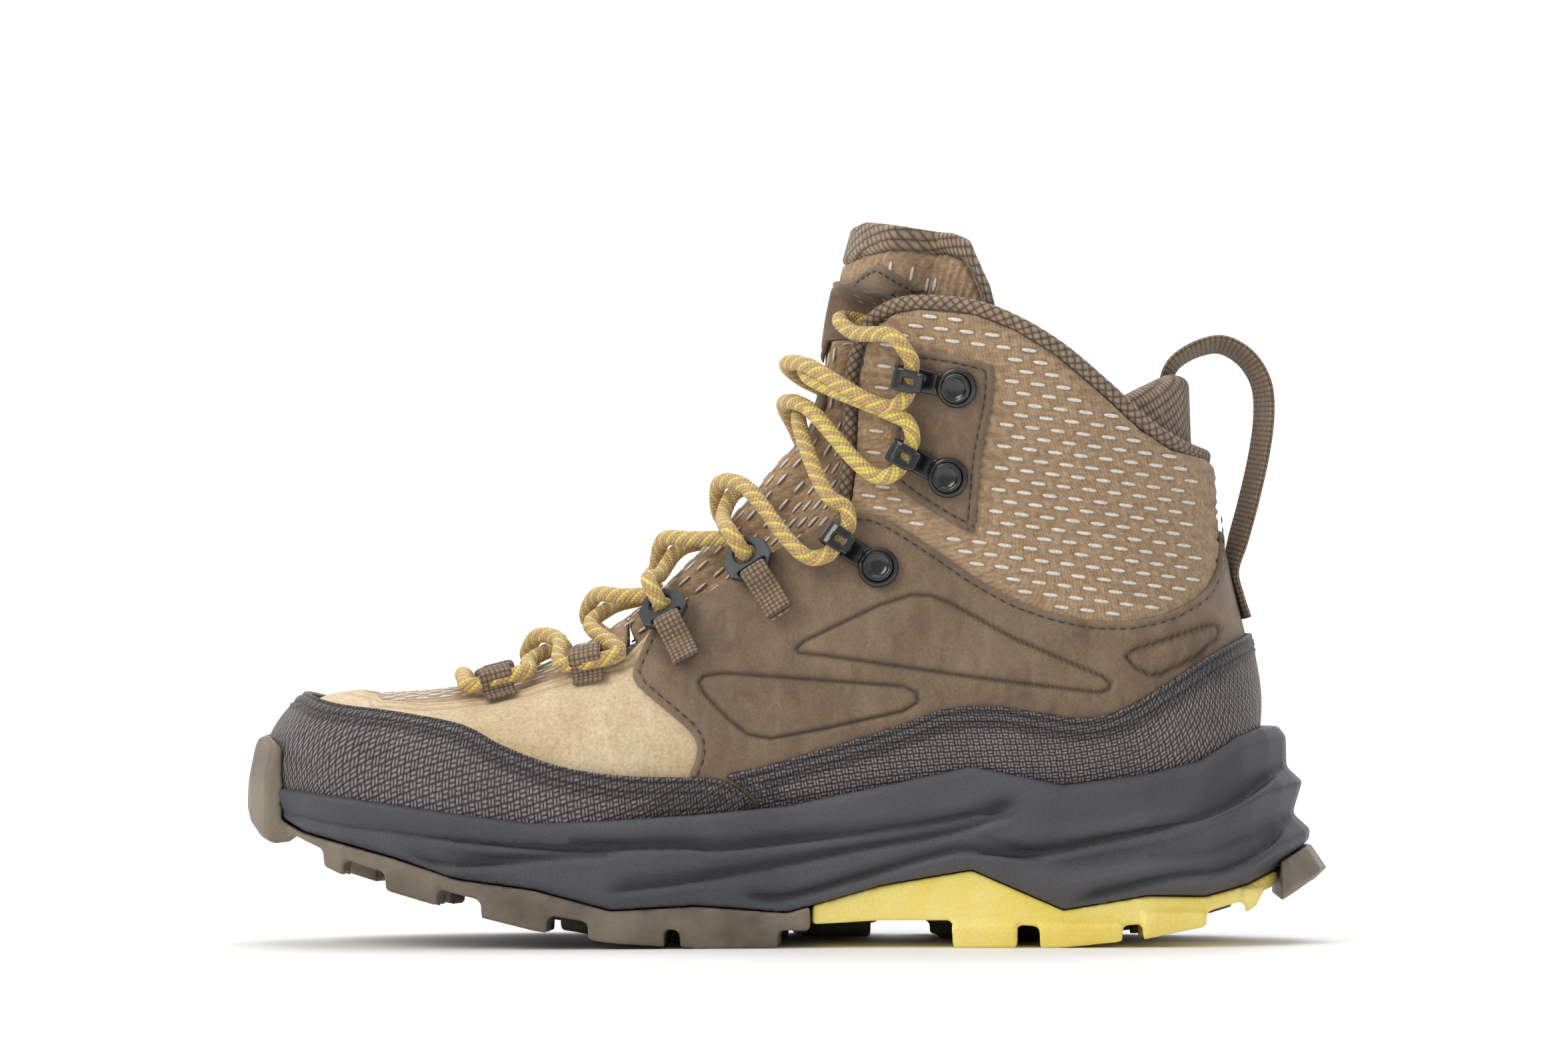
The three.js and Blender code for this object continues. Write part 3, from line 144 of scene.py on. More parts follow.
def lastPoint(u, t, side):
    row = stationAt(u)
    ox, oz, ix, iz, inner, outer, flat, widest, roundness, centre = np.moveaxis(row, -1, 0)
    width = np.where(side < 0, inner, outer)
    share = np.maximum(flat, 0)
    turn = np.clip((t - flatEnd) / (sideEnd - flatEnd), 0, 1) * math.pi / 2
    rise = np.clip((t - sideEnd) / (1 - sideEnd), 0, 1) * math.pi / 2
    power = 2 / roundness
    across = np.where(t <= flatEnd, share * t / flatEnd, share + (1 - share) * np.sin(turn))
    across = np.where(t > sideEnd, np.maximum(np.cos(rise), 1e-12) ** power, across)
    up = np.where(t <= flatEnd, 0, widest * (1 - np.cos(turn)))
    up = np.where(t > sideEnd, widest + (1 - widest) * np.sin(rise) ** power, up)
    return np.stack([ox + (ix - ox) * up, centre + side * width * across, oz + (iz - oz) * up], -1)


def unit(v):
    return v / np.maximum(np.linalg.norm(v, axis=-1, keepdims=True), 1e-12)


def plainNormal(u, t, side):
    uu = np.clip(u, 0.05, lastStation - 0.05)
    alongU = lastPoint(uu + 0.04, t, side) - lastPoint(uu - 0.04, t, side)
    alongT = lastPoint(uu, t + 0.015, side) - lastPoint(uu, t - 0.015, side)
    normal = unit(np.cross(alongT, alongU) * np.asarray(side)[..., None])
    normal[..., 1] = np.where(u < 0.01, 0, normal[..., 1])
    return unit(normal)


def lastNormal(u, t, side):
    u, t, side = np.broadcast_arrays(np.asarray(u, float), np.asarray(t, float), np.asarray(side, float))
    at = np.where(t < 0.5, flatEnd + 0.04, 0.97)
    middle = unit(plainNormal(u, at, -np.ones_like(u)) + plainNormal(u, at, np.ones_like(u)))
    sideNormal = plainNormal(u, np.clip(t, 0.016, 0.984), side)
    near = np.where(t < 0.5, 1 - smoothStep(0.0, 0.05, t), smoothStep(0.95, 1.0, t))[..., None]
    return unit(mixed(sideNormal, middle, near))


def skinPoint(u, t, side, lift):
    u, t, side, lift = np.broadcast_arrays(*[np.asarray(v, float) for v in (u, t, side, lift)])
    return lastPoint(u, t, side) + lastNormal(u, t, side) * lift[..., None]


tables = {}


def onSkin(points, side, lift):
    # nearest surface parameters for side-view points (x, z): a lookup table, then Newton steps
    key = (side, round(lift, 2))
    if key not in tables:
        us, ts = np.meshgrid(np.linspace(0, lastStation, 417), np.linspace(0, 1, 101), indexing="ij")
        us, ts = us.ravel(), ts.ravel()
        keep = (ts >= 0.2) | (us > 17.4)
        us, ts = us[keep], ts[keep]
        at = skinPoint(us, ts, np.full(us.shape, float(side)), lift)
        tree = kdtree.KDTree(len(us))
        for k, p in enumerate(at):
            tree.insert((p[0], p[2], 0), k)
        tree.balance()
        tables[key] = (us, ts, tree)
    us, ts, tree = tables[key]
    points = np.asarray(points, float).reshape(-1, 2)
    found = [tree.find((x, z, 0))[1] for x, z in points]
    u, t = us[found], ts[found]
    s = np.full(u.shape, float(side))
    for _ in range(3):
        here = skinPoint(u, t, s, lift)[:, [0, 2]]
        du = (skinPoint(u + 0.01, t, s, lift)[:, [0, 2]] - here) / 0.01
        dt = (skinPoint(u, t + 0.002, s, lift)[:, [0, 2]] - here) / 0.002
        gap = points - here
        det = du[:, 0] * dt[:, 1] - du[:, 1] * dt[:, 0]
        det = np.where(np.abs(det) < 1e-6, np.inf, det)
        u = np.clip(u + np.clip((gap[:, 0] * dt[:, 1] - gap[:, 1] * dt[:, 0]) / det, -0.05, 0.05), 0,
                    lastStation)
        t = np.clip(t + np.clip((du[:, 0] * gap[:, 1] - du[:, 1] * gap[:, 0]) / det, -0.01, 0.01), 0, 1)
    return u, t


# Edge lines in the side view (x, z), as the panels are cut
midsoleTop = [
    [-139, 42.7], [-113.5, 39.6], [-84.3, 35.4], [-63.5, 32.9], [-42.7, 33.7], [-8.3, 35.8], [9.4, 38.5],
    [30.2, 43.7], [46.8, 47.5], [54.1, 46.8], [63.5, 43.3], [69.7, 42.1], [82.2, 43.7], [98.9, 45.8],
    [111.4, 48.9], [125.3, 56.8], [140, 57.3]]
throatLine = [[-42.5, 79.5], [-36.4, 82.2], [-26, 89.5], [-14.6, 96.8], [-1, 105.2], [11.4, 112],
              [16.2, 114.5]]
facingLine = [
    [16.2, 114.5], [17.7, 124.9], [18.3, 137.3], [19.1, 149.8], [20.8, 158.2], [22.9, 162.3], [28.1, 165.9]]
collarLine = [
    [28.1, 165.9], [34.3, 166.9], [48.9, 165.4], [59.3, 161.3], [69.7, 155], [82.2, 144.6], [92.6, 135.3],
    [100.9, 130.1], [116, 125.3]]
quarterTopLine = [
    [16.6, 113.6], [21.9, 113.4], [28.1, 110.7], [38.5, 104], [48.9, 96.8], [59.3, 91.1], [69.7, 87.4],
    [80.1, 85.3], [90.5, 85.3], [100.9, 87.8], [109.3, 92.6], [113.4, 98.8], [114.7, 106.1], [115.2, 113.4]]
quarterFrontLine = [
    [-36.4, 82.2], [-39.5, 75.3], [-40.6, 71.6], [-38.5, 68], [-31.2, 61.8], [-25.6, 56.8], [-23.7, 53.5],
    [-23.7, 49.9], [-25.6, 44.7]]
frontRandTop = [
    [-126, 66], [-117.6, 63.5], [-100.9, 61.4], [-84.3, 58.3], [-73.9, 53.1], [-59.3, 47.9], [-42.7, 45.2],
    [-26, 44.7], [-17.7, 44.1], [-11.4, 40.6], [-8.3, 37.5]]
rearRandTop = [
    [-16.8, 45.2], [-7.6, 47], [-1, 48.9], [19.8, 55.1], [32.3, 59.3], [40.6, 62.2], [53.1, 63.1],
               [65.6, 61.4],
    [76, 59.9], [86.4, 61.8], [98.8, 68.7], [111.3, 76.6], [127, 84]]
vampWindowLine = [
    [-113, 66.6], [-108.2, 65.6], [-106.1, 64.1], [-94.7, 63.4], [-88.4, 63.9], [-80, 65], [-69.1, 67.2],
    [-56, 71.5], [-44, 75.2]]
patchShape = [
    [27.7, 153.4], [31.6, 156.1], [41, 155.2], [52.2, 152.5], [53.7, 150], [53.3, 142.3], [50.6, 128],
    [48.9, 109.9], [47.4, 108.6], [40.4, 112.2], [30.8, 118.6], [25.6, 124], [26.8, 128], [28.5, 143.8]]
soleLine = stations[:17, :2].tolist()


def along(line, x):
    xs, zs = np.array(line).T
    return np.interp(x, xs, zs)


def moved(line, dx, dz):
    return [[x + dx, z + dz] for x, z in line]


def rounded(line, closed=False, steps=5):
    # the same line with its corners eased by a spline through its points
    points = np.array(line, float)
    count = len(points)
    out = []
    for k in range(count if closed else count - 1):
        picks = [(k + j) % count if closed else min(max(k + j, 0), count - 1) for j in (-1, 0, 1, 2)]
        a, b, d, e = points[picks]
        for f in np.arange(steps) / steps:
            out.append(0.5 * (2 * b + (d - a) * f + (2 * a - 5 * b + 4 * d - e) * f * f
                              + (-a + 3 * b - 3 * d + e) * f ** 3))
    if not closed:
        out.append(points[-1])
    return np.array(out).tolist()


tuckLine = [[x, min(z - 7, along(soleLine, x) + (14 if x > 100 else 6))] for x, z in midsoleTop]

# lifts off the last, in layers from the foot out
liningLift = [0, 2.5]
sheetLift = [2.8, 4.0]
suedeLift = [4.1, 5.3]
shellLift = [2.8, 5.3]
quarterLift = [5.6, 7.0]
randLift = [7.3, 8.7]


def outlineDistance(outline, x, z):
    # distance to the outline's edge, positive inside
    points = np.array(outline, float)
    nearest = np.full(x.shape, 1e9)
    inside = np.zeros(x.shape, bool)
    for (ax, az), (bx, bz) in zip(points, np.roll(points, -1, 0)):
        dx, dz = bx - ax, bz - az
        if dx * dx + dz * dz < 1e-12:
            continue
        f = np.clip(((x - ax) * dx + (z - az) * dz) / (dx * dx + dz * dz), 0, 1)
        nearest = np.minimum(nearest, (x - ax - f * dx) ** 2 + (z - az - f * dz) ** 2)
        if az != bz:
            crosses = ((az > z) != (bz > z)) & (x < ax + (z - az) * dx / dz)
            inside ^= crosses
    return np.sqrt(nearest) * np.where(inside, 1, -1)


def lineDistance(line, x, z):
    nearest = np.full(x.shape, 1e9)
    for (ax, az), (bx, bz) in zip(line[:-1], line[1:]):
        dx, dz = bx - ax, bz - az
        f = np.clip(((x - ax) * dx + (z - az) * dz) / max(dx * dx + dz * dz, 1e-9), 0, 1)
        nearest = np.minimum(nearest, (x - ax - f * dx) ** 2 + (z - az - f * dz) ** 2)
    return np.sqrt(nearest)


def newObject(name, points, faces, uvs=None, flat=False):
    mesh = bpy.data.meshes.new(name)
    mesh.from_pydata([tuple(p) for p in points], [], [tuple(int(k) for k in face) for face in faces])
    mesh.update()
    if uvs is not None:
        layer = mesh.uv_layers.new(name="cloth")
        loops = np.zeros(len(mesh.loops), np.int32)
        mesh.loops.foreach_get("vertex_index", loops)
        layer.data.foreach_set("uv", np.asarray(uvs, np.float32)[loops].ravel())
    if not flat:
        mesh.polygons.foreach_set("use_smooth", [True] * len(mesh.polygons))
    obj = bpy.data.objects.new(name, mesh)
    bpy.context.scene.collection.objects.link(obj)
    return obj


def finishPiece(obj, material, body="boot", replaced=()):
    obj.data.materials.clear()
    obj.data.materials.append(material)
    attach(obj, body)
    if replaced:
        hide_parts(*replaced)
    return obj


# grid lines of the skin, evenly spaced in millimetres
uFine = np.linspace(0, lastStation, 1200)
tFine = np.linspace(0, 1, 600)
uRun = lastPoint(uFine, np.full(uFine.shape, 0.62), -np.ones(uFine.shape))
uLength = np.concatenate([[0], np.cumsum(np.linalg.norm(np.diff(uRun, axis=0), axis=1))])


def spaced(low, high, step, values, lengths):
    a, b = np.interp([low, high], values, lengths)
    count = max(int(round((b - a) / step)), 2)
    return np.interp(np.linspace(a, b, count + 1), lengths, values)


def splitAt(rows, faces, level, clip=False):
    # cuts the faces along distance == level; with clip, what lies below is dropped
    cuts = {}
    out = []

    def cutPoint(i, j):
        key = (min(i, j), max(i, j))
        if key not in cuts:
            a, b = rows[key[0]], rows[key[1]]
            share = (level - a[4]) / (b[4] - a[4])
            row = a + (b - a) * share
            row[4] = level
            cuts[key] = len(rows)
            rows.append(row)
        return cuts[key]

    for face in faces:
        values = [rows[k][4] - level for k in face]
        if min(values) >= -1e-7:
            out.append(face)
            continue
        if max(values) <= 1e-7:
            if not clip:
                out.append(face)
            continue
        above, below = [], []
        for k, i in enumerate(face):
            j = face[(k + 1) % len(face)]
            vi, vj = values[k], values[(k + 1) % len(face)]
            if vi >= -1e-7:
                above.append(i)
            if vi <= 1e-7:
                below.append(i)
            if (vi > 1e-7 and vj < -1e-7) or (vi < -1e-7 and vj > 1e-7):
                m = cutPoint(i, j)
                above.append(m)
                below.append(m)
        if len(above) > 2:
            out.append(above)
        if len(below) > 2 and not clip:
            out.append(below)
    return out


def skinPanel(name, outline, lifts, unfold, uSpan, wSpan, step=1.2, levels=(0.15, 0.5, 1.1), outer=None,
              inner=None,
              rollWidth=1.1, roundBack=False):
    # A panel cut from the skin: outline in the side view, lifts as [inner, outer], rounded over at its edges
    uLine = spaced(uSpan[0], uSpan[1], step, uFine, uLength)
    middle = 0.5 * (uSpan[0] + uSpan[1])
    tRun = lastPoint(np.full(tFine.shape, middle), tFine, -np.ones(tFine.shape))
    tLength = np.concatenate([[0], np.cumsum(np.linalg.norm(np.diff(tRun, axis=0), axis=1))])
    signed = (lambda w: 1 - abs(w)) if unfold == "ridge" else abs
    low, high = wSpan
    fine = np.linspace(low, high, 900)
    run = np.interp(signed(fine), tFine, tLength)
    wLength = np.concatenate([[0], np.cumsum(np.abs(np.diff(run)))])
    wLine = np.interp(np.linspace(0, wLength[-1], max(int(wLength[-1] / step), 2) + 1), wLength, fine)
    if low < 0 < high:
        wLine[np.argmin(np.abs(wLine))] = 0
    uu, ww = np.meshgrid(uLine, wLine, indexing="ij")
    tt = signed(ww)
    ss = np.where(ww < 0, -1.0, 1.0)
    at = skinPoint(uu, tt, ss, 0.5 * (lifts[0] + lifts[1]))
    x, z = at[..., 0], at[..., 2]
    h = 0.2
    raw = outlineDistance(outline, x, z)
    gx = outlineDistance(outline, x + h, z) - outlineDistance(outline, x - h, z)
    gz = outlineDistance(outline, x, z + h) - outlineDistance(outline, x, z - h)
    gradient = unit(np.stack([gx, np.zeros_like(gx), gz], -1))
    facing = np.sum(gradient * lastNormal(uu, tt, ss), -1)
    distance = raw / np.sqrt(np.clip(1 - facing ** 2, 0.06, 1))
    base = lastPoint(uu, tt, ss)
    alongU = np.concatenate([np.zeros((1, len(wLine))),
                             np.cumsum(np.linalg.norm(np.diff(base, axis=0), axis=-1), 0)])
    alongW = np.concatenate([np.zeros((len(uLine), 1)),
                             np.cumsum(np.linalg.norm(np.diff(base, axis=1), axis=-1), 1)],
                            1)
    alongW = alongW - alongW[:, [int(np.argmin(np.abs(wLine)))]]
    rows = list(np.stack([uu, ww, alongU, alongW, distance], -1).reshape(-1, 5))
    m = len(wLine)
    faces = []
    flat = distance.reshape(-1)
    for a in range(len(uLine) - 1):
        for b in range(m - 1):
            k = a * m + b
            face = [k, k + 1, k + m + 1, k + m]
            if max(flat[k], flat[k + 1], flat[k + m + 1], flat[k + m]) > 0:
                faces.append(face)
    faces = splitAt(rows, faces, 0.0, clip=True)
    for level in levels:
        faces = splitAt(rows, faces, level)
    rows = np.array(rows)
    used = np.unique(np.concatenate([np.array(face) for face in faces]))
    index = np.full(len(rows), -1)
    index[used] = np.arange(len(used))
    rows = rows[used]
    faces = [[int(index[k]) for k in face] for face in faces]
    u, w, mapU, mapW, d = rows.T
    t = signed(w)
    side = np.where(w < 0, -1.0, 1.0)
    at = skinPoint(u, t, side, lifts[1])
    x, z = at[:, 0], at[:, 2]
    fade = np.sqrt(np.clip(1 - (1 - np.clip(d / rollWidth, 0, 1)) ** 2, 0, 1))
    top = np.full(len(u), float(lifts[1])) if outer is None else outer(u, t, side, x, z, d, mapU, mapW)
    # an outer function may also return a second value: painted shade for the panel's hollows
    crease = np.zeros(len(u))
    if isinstance(top, tuple):
        top, crease = top
    bottom = np.full(len(u), float(lifts[0])) if inner is None else inner(u, t, side, x, z, d, mapU, mapW)
    if roundBack:
        centre = 0.5 * (top + bottom)
        top, bottom = centre + (top - centre) * fade, centre + (bottom - centre) * fade
    else:
        top = bottom + (top - bottom) * fade
    front = skinPoint(u, t, side, top)
    back = skinPoint(u, t, side, bottom)
    shared = d < 1e-6
    backIndex = np.arange(len(u))
    backIndex[~shared] = len(u) + np.arange(int((~shared).sum()))
    points = np.concatenate([front, back[~shared]])
    uvs = np.stack([mapU, mapW], -1)
    uvs = np.concatenate([uvs, uvs[~shared]])
    edges = {}
    for face in faces:
        for k, i in enumerate(face):
            j = face[(k + 1) % len(face)]
            edges[(i, j)] = True
    walls = []
    for i, j in edges:
        if (j, i) not in edges and not (shared[i] and shared[j]):
            wall = [j, i, int(backIndex[i]), int(backIndex[j])]
            wall = [k for n, k in enumerate(wall) if k not in wall[:n]]
            if len(wall) > 2:
                walls.append(wall)
    # the grid's own winding looks inward on this last
    sideUp = [list(reversed(face)) for face in faces]
    under = [[int(backIndex[k]) for k in face] for face in faces]
    obj = newObject(name, toMetres(points), sideUp + under + [list(reversed(w)) for w in walls], uvs)
    work = bmesh.new()
    work.from_mesh(obj.data)
    bmesh.ops.recalc_face_normals(work, faces=work.faces)
    work.to_mesh(obj.data)
    work.free()
    # painted shade: the amount of shade painted into pressed lines, seams and puckers, per vertex
    creaseShadeLayer = obj.data.attributes.new("crease", "FLOAT", "POINT")
    creaseShadeLayer.data.foreach_set("value",
                          np.concatenate([crease, np.zeros(int((~shared).sum()))]).astype(np.float32))
    return obj


# Materials
def newMaterial(name, roughness=0.8, **settings):
    material = bpy.data.materials.new(name)
    material.use_nodes = True
    tree = material.node_tree
    shader = tree.nodes["Principled BSDF"]
    shader.inputs["Roughness"].default_value = roughness
    for socket, value in settings.items():
        shader.inputs[socket.replace("_", " ")].default_value = value
    return material, tree, shader


def place(tree, scale, stretch=(1, 1, 1)):
    # object coordinates, with one pattern period per `scale` millimetres
    coords = addNode(tree, "TexCoord")
    mapping = addNode(tree, "Mapping", inputs={"Vector": coords.outputs["Object"]})
    mapping.inputs["Scale"].default_value = [1000 / scale * k for k in stretch]
    return mapping.outputs["Vector"]


def clothPlace(tree, scaleU, scaleV, turn=0):
    # the cut cloth's own coordinates, which run in millimetres
    uv = addNode(tree, "UVMap", {"uv_map": "cloth"})
    mapping = addNode(tree, "Mapping", inputs={"Vector": uv.outputs["UV"]})
    mapping.inputs["Scale"].default_value = (1 / scaleU, 1 / scaleV, 1)
    mapping.inputs["Rotation"].default_value = (0, 0, math.radians(turn))
    return mapping.outputs["Vector"]


def paintCreaseShade(tree, colour, shade, most=0.75):
    # painted shade: pressed lines, needle rows, folds and stitch puckers are darkened towards the shade
    # colour, as shade in their hollows; on the nubuck's debossed lines this is partly the leather's real
    # burnish
    share = addNode(tree, "Attribute", {"attribute_name": "crease"}).outputs["Fac"]
    return addNode(tree, "Mix", {"data_type": "RGBA", "blend_type": "MIX"},
                   {0: addNode(tree, "Math", {"operation": "MULTIPLY", "use_clamp": True},
                               {0: share, 1: most}, 0), 6: colour, 7: shade}, 2)


def leather(name, dark, base, light, grain, roughness=0.85, sheen=0.25, pressedAndShaded="#33271e"):
    material, tree, shader = newMaterial(name, roughness, Sheen_Weight=sheen, Sheen_Roughness=0.5)
    shader.inputs["Specular IOR Level"].default_value = 0.25
    cloudy = addNode(tree, "TexNoise", None, {"Vector": place(tree, 26), "Scale": 1.0, "Detail": 4,
                                              "Roughness": 0.55}, "Fac")
    nap = addNode(tree, "TexNoise", None, {"Vector": place(tree, grain), "Scale": 1.0, "Detail": 4,
                                           "Roughness": 0.65}, "Fac")
    streak = addNode(tree, "TexNoise", None, {"Vector": place(tree, 5, (1, 1, 0.45)), "Scale": 1.0,
                                              "Detail": 3, "Roughness": 0.6, "Distortion": 0.6}, "Fac")
    colour = addNode(tree, "ValToRGB", {"stops": [(0.36, dark), (0.5, base), (0.66, light)]},
                     {"Fac": addNode(tree, "Math", {"operation": "ADD"},
                                     {0: addNode(tree, "Math", {"operation": "MULTIPLY"},
                                                 {0: cloudy, 1: 0.55}, 0),
                                      1: addNode(tree, "Math", {"operation": "MULTIPLY"},
                                                 {0: streak, 1: 0.45}, 0)}, 0)}, "Color")
    speck = addNode(tree, "ValToRGB", {"stops": [(0.3, 0.74), (0.5, 0.98), (0.7, 1.12)]}, {"Fac": nap},
                    "Color")
    colour = addNode(tree, "Mix", {"data_type": "RGBA", "blend_type": "MULTIPLY"},
                     {0: 1.0, 6: colour, 7: speck}, 2)
    # painted shade in the pressed lines and sunk seams, in the shade colour; partly the real burnish on the
    # nubuck's deboss
    tree.links.new(paintCreaseShade(tree, colour, pressedAndShaded), shader.inputs["Base Color"])
    addNode(tree, "Bump", None, {"Height": nap, "Distance": 0.22 * 0.001, "Strength": 0.8}, "Normal",
            shader.inputs["Normal"])
    return material


# Nubuck: sanded grain leather, so it is dull, cloudy where it was rubbed, with a very short nap
nubuck = leather("taupeNubuck", "#6a594a", "#7d6a57", "#8b7764", 0.55)
# Suede: split leather with a longer nap, paler where the fibres lie flat
suede = leather("sandSuede", "#c3ad88", "#d1bc98", "#dccaa8", 0.9, 0.95, 0.3, "#a58c67")


def wovenHeight(tree, pitch, turn=0, threads=2):
    # basket weave: cells where warp threads pass over, beside cells where weft threads do
    vector = clothPlace(tree, pitch, pitch, turn)
    checker = addNode(tree, "TexChecker", inputs={"Vector": vector, "Scale": 1.0}).outputs["Fac"]
    parts = addNode(tree, "SeparateXYZ", inputs={"Vector": vector})
    ridges = []
    for a, b in (("X", "Y"), ("Y", "X")):
        thread = addNode(tree, "Math", {"operation": "ABSOLUTE"},
                         {0: addNode(tree, "Math", {"operation": "SINE"},
                                     {0: addNode(tree, "Math", {"operation": "MULTIPLY"},
                                                 {0: parts.outputs[a], 1: math.pi * threads}, 0)}, 0)}, 0)
        bow = addNode(tree, "Math", {"operation": "ABSOLUTE"},
                      {0: addNode(tree, "Math", {"operation": "SINE"},
                                  {0: addNode(tree, "Math", {"operation": "MULTIPLY"},
                                              {0: parts.outputs[b], 1: math.pi}, 0)}, 0)}, 0)
        ridges.append(addNode(tree, "Math", {"operation": "MULTIPLY"},
                              {0: addNode(tree, "Math", {"operation": "POWER"}, {0: thread, 1: 0.5}, 0),
                               1: addNode(tree, "Math", {"operation": "POWER"}, {0: bow, 1: 0.35}, 0)}, 0))
    first = addNode(tree, "Math", {"operation": "MULTIPLY"},
                    {0: ridges[0], 1: addNode(tree, "Math", {"operation": "SUBTRACT"}, {0: 1.0, 1: checker},
                                              0)}, 0)
    second = addNode(tree, "Math", {"operation": "MULTIPLY"}, {0: ridges[1], 1: checker}, 0)
    return addNode(tree, "Math", {"operation": "ADD"}, {0: first, 1: second}, 0), checker


def wovenCloth(name, dark, base, light, pitch, depth, turn=0, roughness=0.7, fleck=None, threads=2,
               sheen=0.0):
    material, tree, shader = newMaterial(name, roughness, Sheen_Weight=sheen)
    shader.inputs["Specular IOR Level"].default_value = 0.35
    height, checker = wovenHeight(tree, pitch, turn, threads)
    shade = addNode(tree, "TexNoise", None, {"Vector": place(tree, pitch * 1.3), "Scale": 1.0, "Detail": 3,
                                             "Roughness": 0.7}, "Fac")
    cloudy = addNode(tree, "TexNoise", None, {"Vector": place(tree, 30), "Scale": 1.0, "Detail": 2,
                                              "Roughness": 0.5}, "Fac")
    # painted light: the ramp over the weave height puts shade at the thread crossings and a highlight on the
    # floats
    colour = addNode(tree, "ValToRGB", {"stops": [(0.1, dark), (0.55, base), (1.0, light)]},
                     {"Fac": height}, "Color")
    colour = addNode(tree, "Mix", {"data_type": "RGBA", "blend_type": "MULTIPLY"},
                     {0: 1.0, 6: colour, 7: addNode(tree, "ValToRGB",
                                                    {"stops": [(0.25, 0.72), (0.5, 0.98), (0.75, 1.3)]},
                                                    {"Fac": shade}, "Color")}, 2)
    colour = addNode(tree, "Mix", {"data_type": "RGBA", "blend_type": "MULTIPLY"},
                     {0: 1.0, 6: colour, 7: addNode(tree, "ValToRGB", {"stops": [(0.3, 0.9), (0.7, 1.08)]},
                                                    {"Fac": cloudy}, "Color")}, 2)
    if fleck:
        spots = addNode(tree, "ValToRGB", {"stops": [(0.69, 0.0), (0.73, 0.8)]},
                        {"Fac": addNode(tree, "TexNoise", None,
                                        {"Vector": place(tree, 3.1), "Scale": 1.0, "Detail": 1,
                                         "Roughness": 0.5}, "Fac")}, "Color")
        colour = addNode(tree, "Mix", {"data_type": "RGBA", "blend_type": "MIX"},
                         {0: spots, 6: colour, 7: fleck}, 2)
    # painted shade: the dark colour again in the folds, seams and stitch puckers
    tree.links.new(paintCreaseShade(tree, colour, dark), shader.inputs["Base Color"])
    addNode(tree, "Bump", None, {"Height": height, "Distance": depth * 0.001, "Strength": 0.9}, "Normal",
            shader.inputs["Normal"])
    return material


# Ballistic nylon: thick filament yarn in a basket weave, with a painted highlight on its floats and painted
# shade at its crossings;
# the yarn is drawn about twice as coarse as the real one, so that it shows
ballisticNylon = wovenCloth("ballisticNylon", "#231f20", "#4a4446", "#8d8683", 1.6, 0.35, 0, 0.5)
# Melange knit: two browns knitted together with a fleck of lime, its stitches drawn coarser so that they show
melangeKnit = wovenCloth("melangeKnit", "#4b3c30", "#7b6857", "#a08d79", 1.9, 0.5, 45, 0.9, "#97904f", 1, 0.2)
# Polyester webbing: a ribbed narrow weave, dull brown
webbing = wovenCloth("ribbedWebbing", "#4a3b31", "#75624f", "#93806b", 1.3, 0.3, 0, 0.8, None, 1, 0.1)
# Brushed lining jersey: short loops, with painted shade where they fold in
liningJersey = wovenCloth("liningJersey", "#3a2f27", "#5f5044", "#7a6a5b", 1.4, 0.3, 45, 0.95, None, 1, 0.3)


def softshellCloth(name):
    # Softshell: fine ribbed polyester face over foam; heathered tan with thin darker wales
    material, tree, shader = newMaterial(name, 0.85, Sheen_Weight=0.25, Sheen_Roughness=0.4)
    shader.inputs["Specular IOR Level"].default_value = 0.3
    vector = clothPlace(tree, 1.5, 1.5, 10)
    parts = addNode(tree, "SeparateXYZ", inputs={"Vector": vector})
    rib = addNode(tree, "Math", {"operation": "ABSOLUTE"},
                  {0: addNode(tree, "Math", {"operation": "SINE"},
                              {0: addNode(tree, "Math", {"operation": "MULTIPLY"},
                                          {0: parts.outputs["Y"], 1: math.pi}, 0)}, 0)}, 0)
    heather = addNode(tree, "TexNoise", None, {"Vector": place(tree, 0.9, (0.3, 1, 1)), "Scale": 1.0,
                                               "Detail": 3, "Roughness": 0.7}, "Fac")
    cloudy = addNode(tree, "TexNoise", None, {"Vector": place(tree, 22), "Scale": 1.0, "Detail": 3,
                                              "Roughness": 0.5}, "Fac")
    colour = addNode(tree, "ValToRGB", {"stops": [(0.3, "#90775c"), (0.5, "#a98f72"), (0.72, "#bfa688")]},
                     {"Fac": heather}, "Color")
    colour = addNode(tree, "Mix", {"data_type": "RGBA", "blend_type": "MULTIPLY"},
                     {0: 1.0, 6: colour, 7: addNode(tree, "ValToRGB", {"stops": [(0.0, 0.82), (0.5, 1.02)]},
                                                    {"Fac": rib}, "Color")}, 2)
    colour = addNode(tree, "Mix", {"data_type": "RGBA", "blend_type": "MULTIPLY"},
                     {0: 1.0, 6: colour, 7: addNode(tree, "ValToRGB", {"stops": [(0.3, 0.97), (0.7, 1.03)]},
                                                    {"Fac": cloudy}, "Color")}, 2)
    # painted shade at the stitch puckers, in a darker tan
    tree.links.new(paintCreaseShade(tree, colour, "#7c6349", 0.6), shader.inputs["Base Color"])
    addNode(tree, "Bump", None,
            {"Height": addNode(tree, "Math", {"operation": "ADD"}, {0: rib, 1: heather}, 0),
             "Distance": 0.14 * 0.001, "Strength": 0.7}, "Normal", shader.inputs["Normal"])
    return material


softshell = softshellCloth("heatherSoftshell")


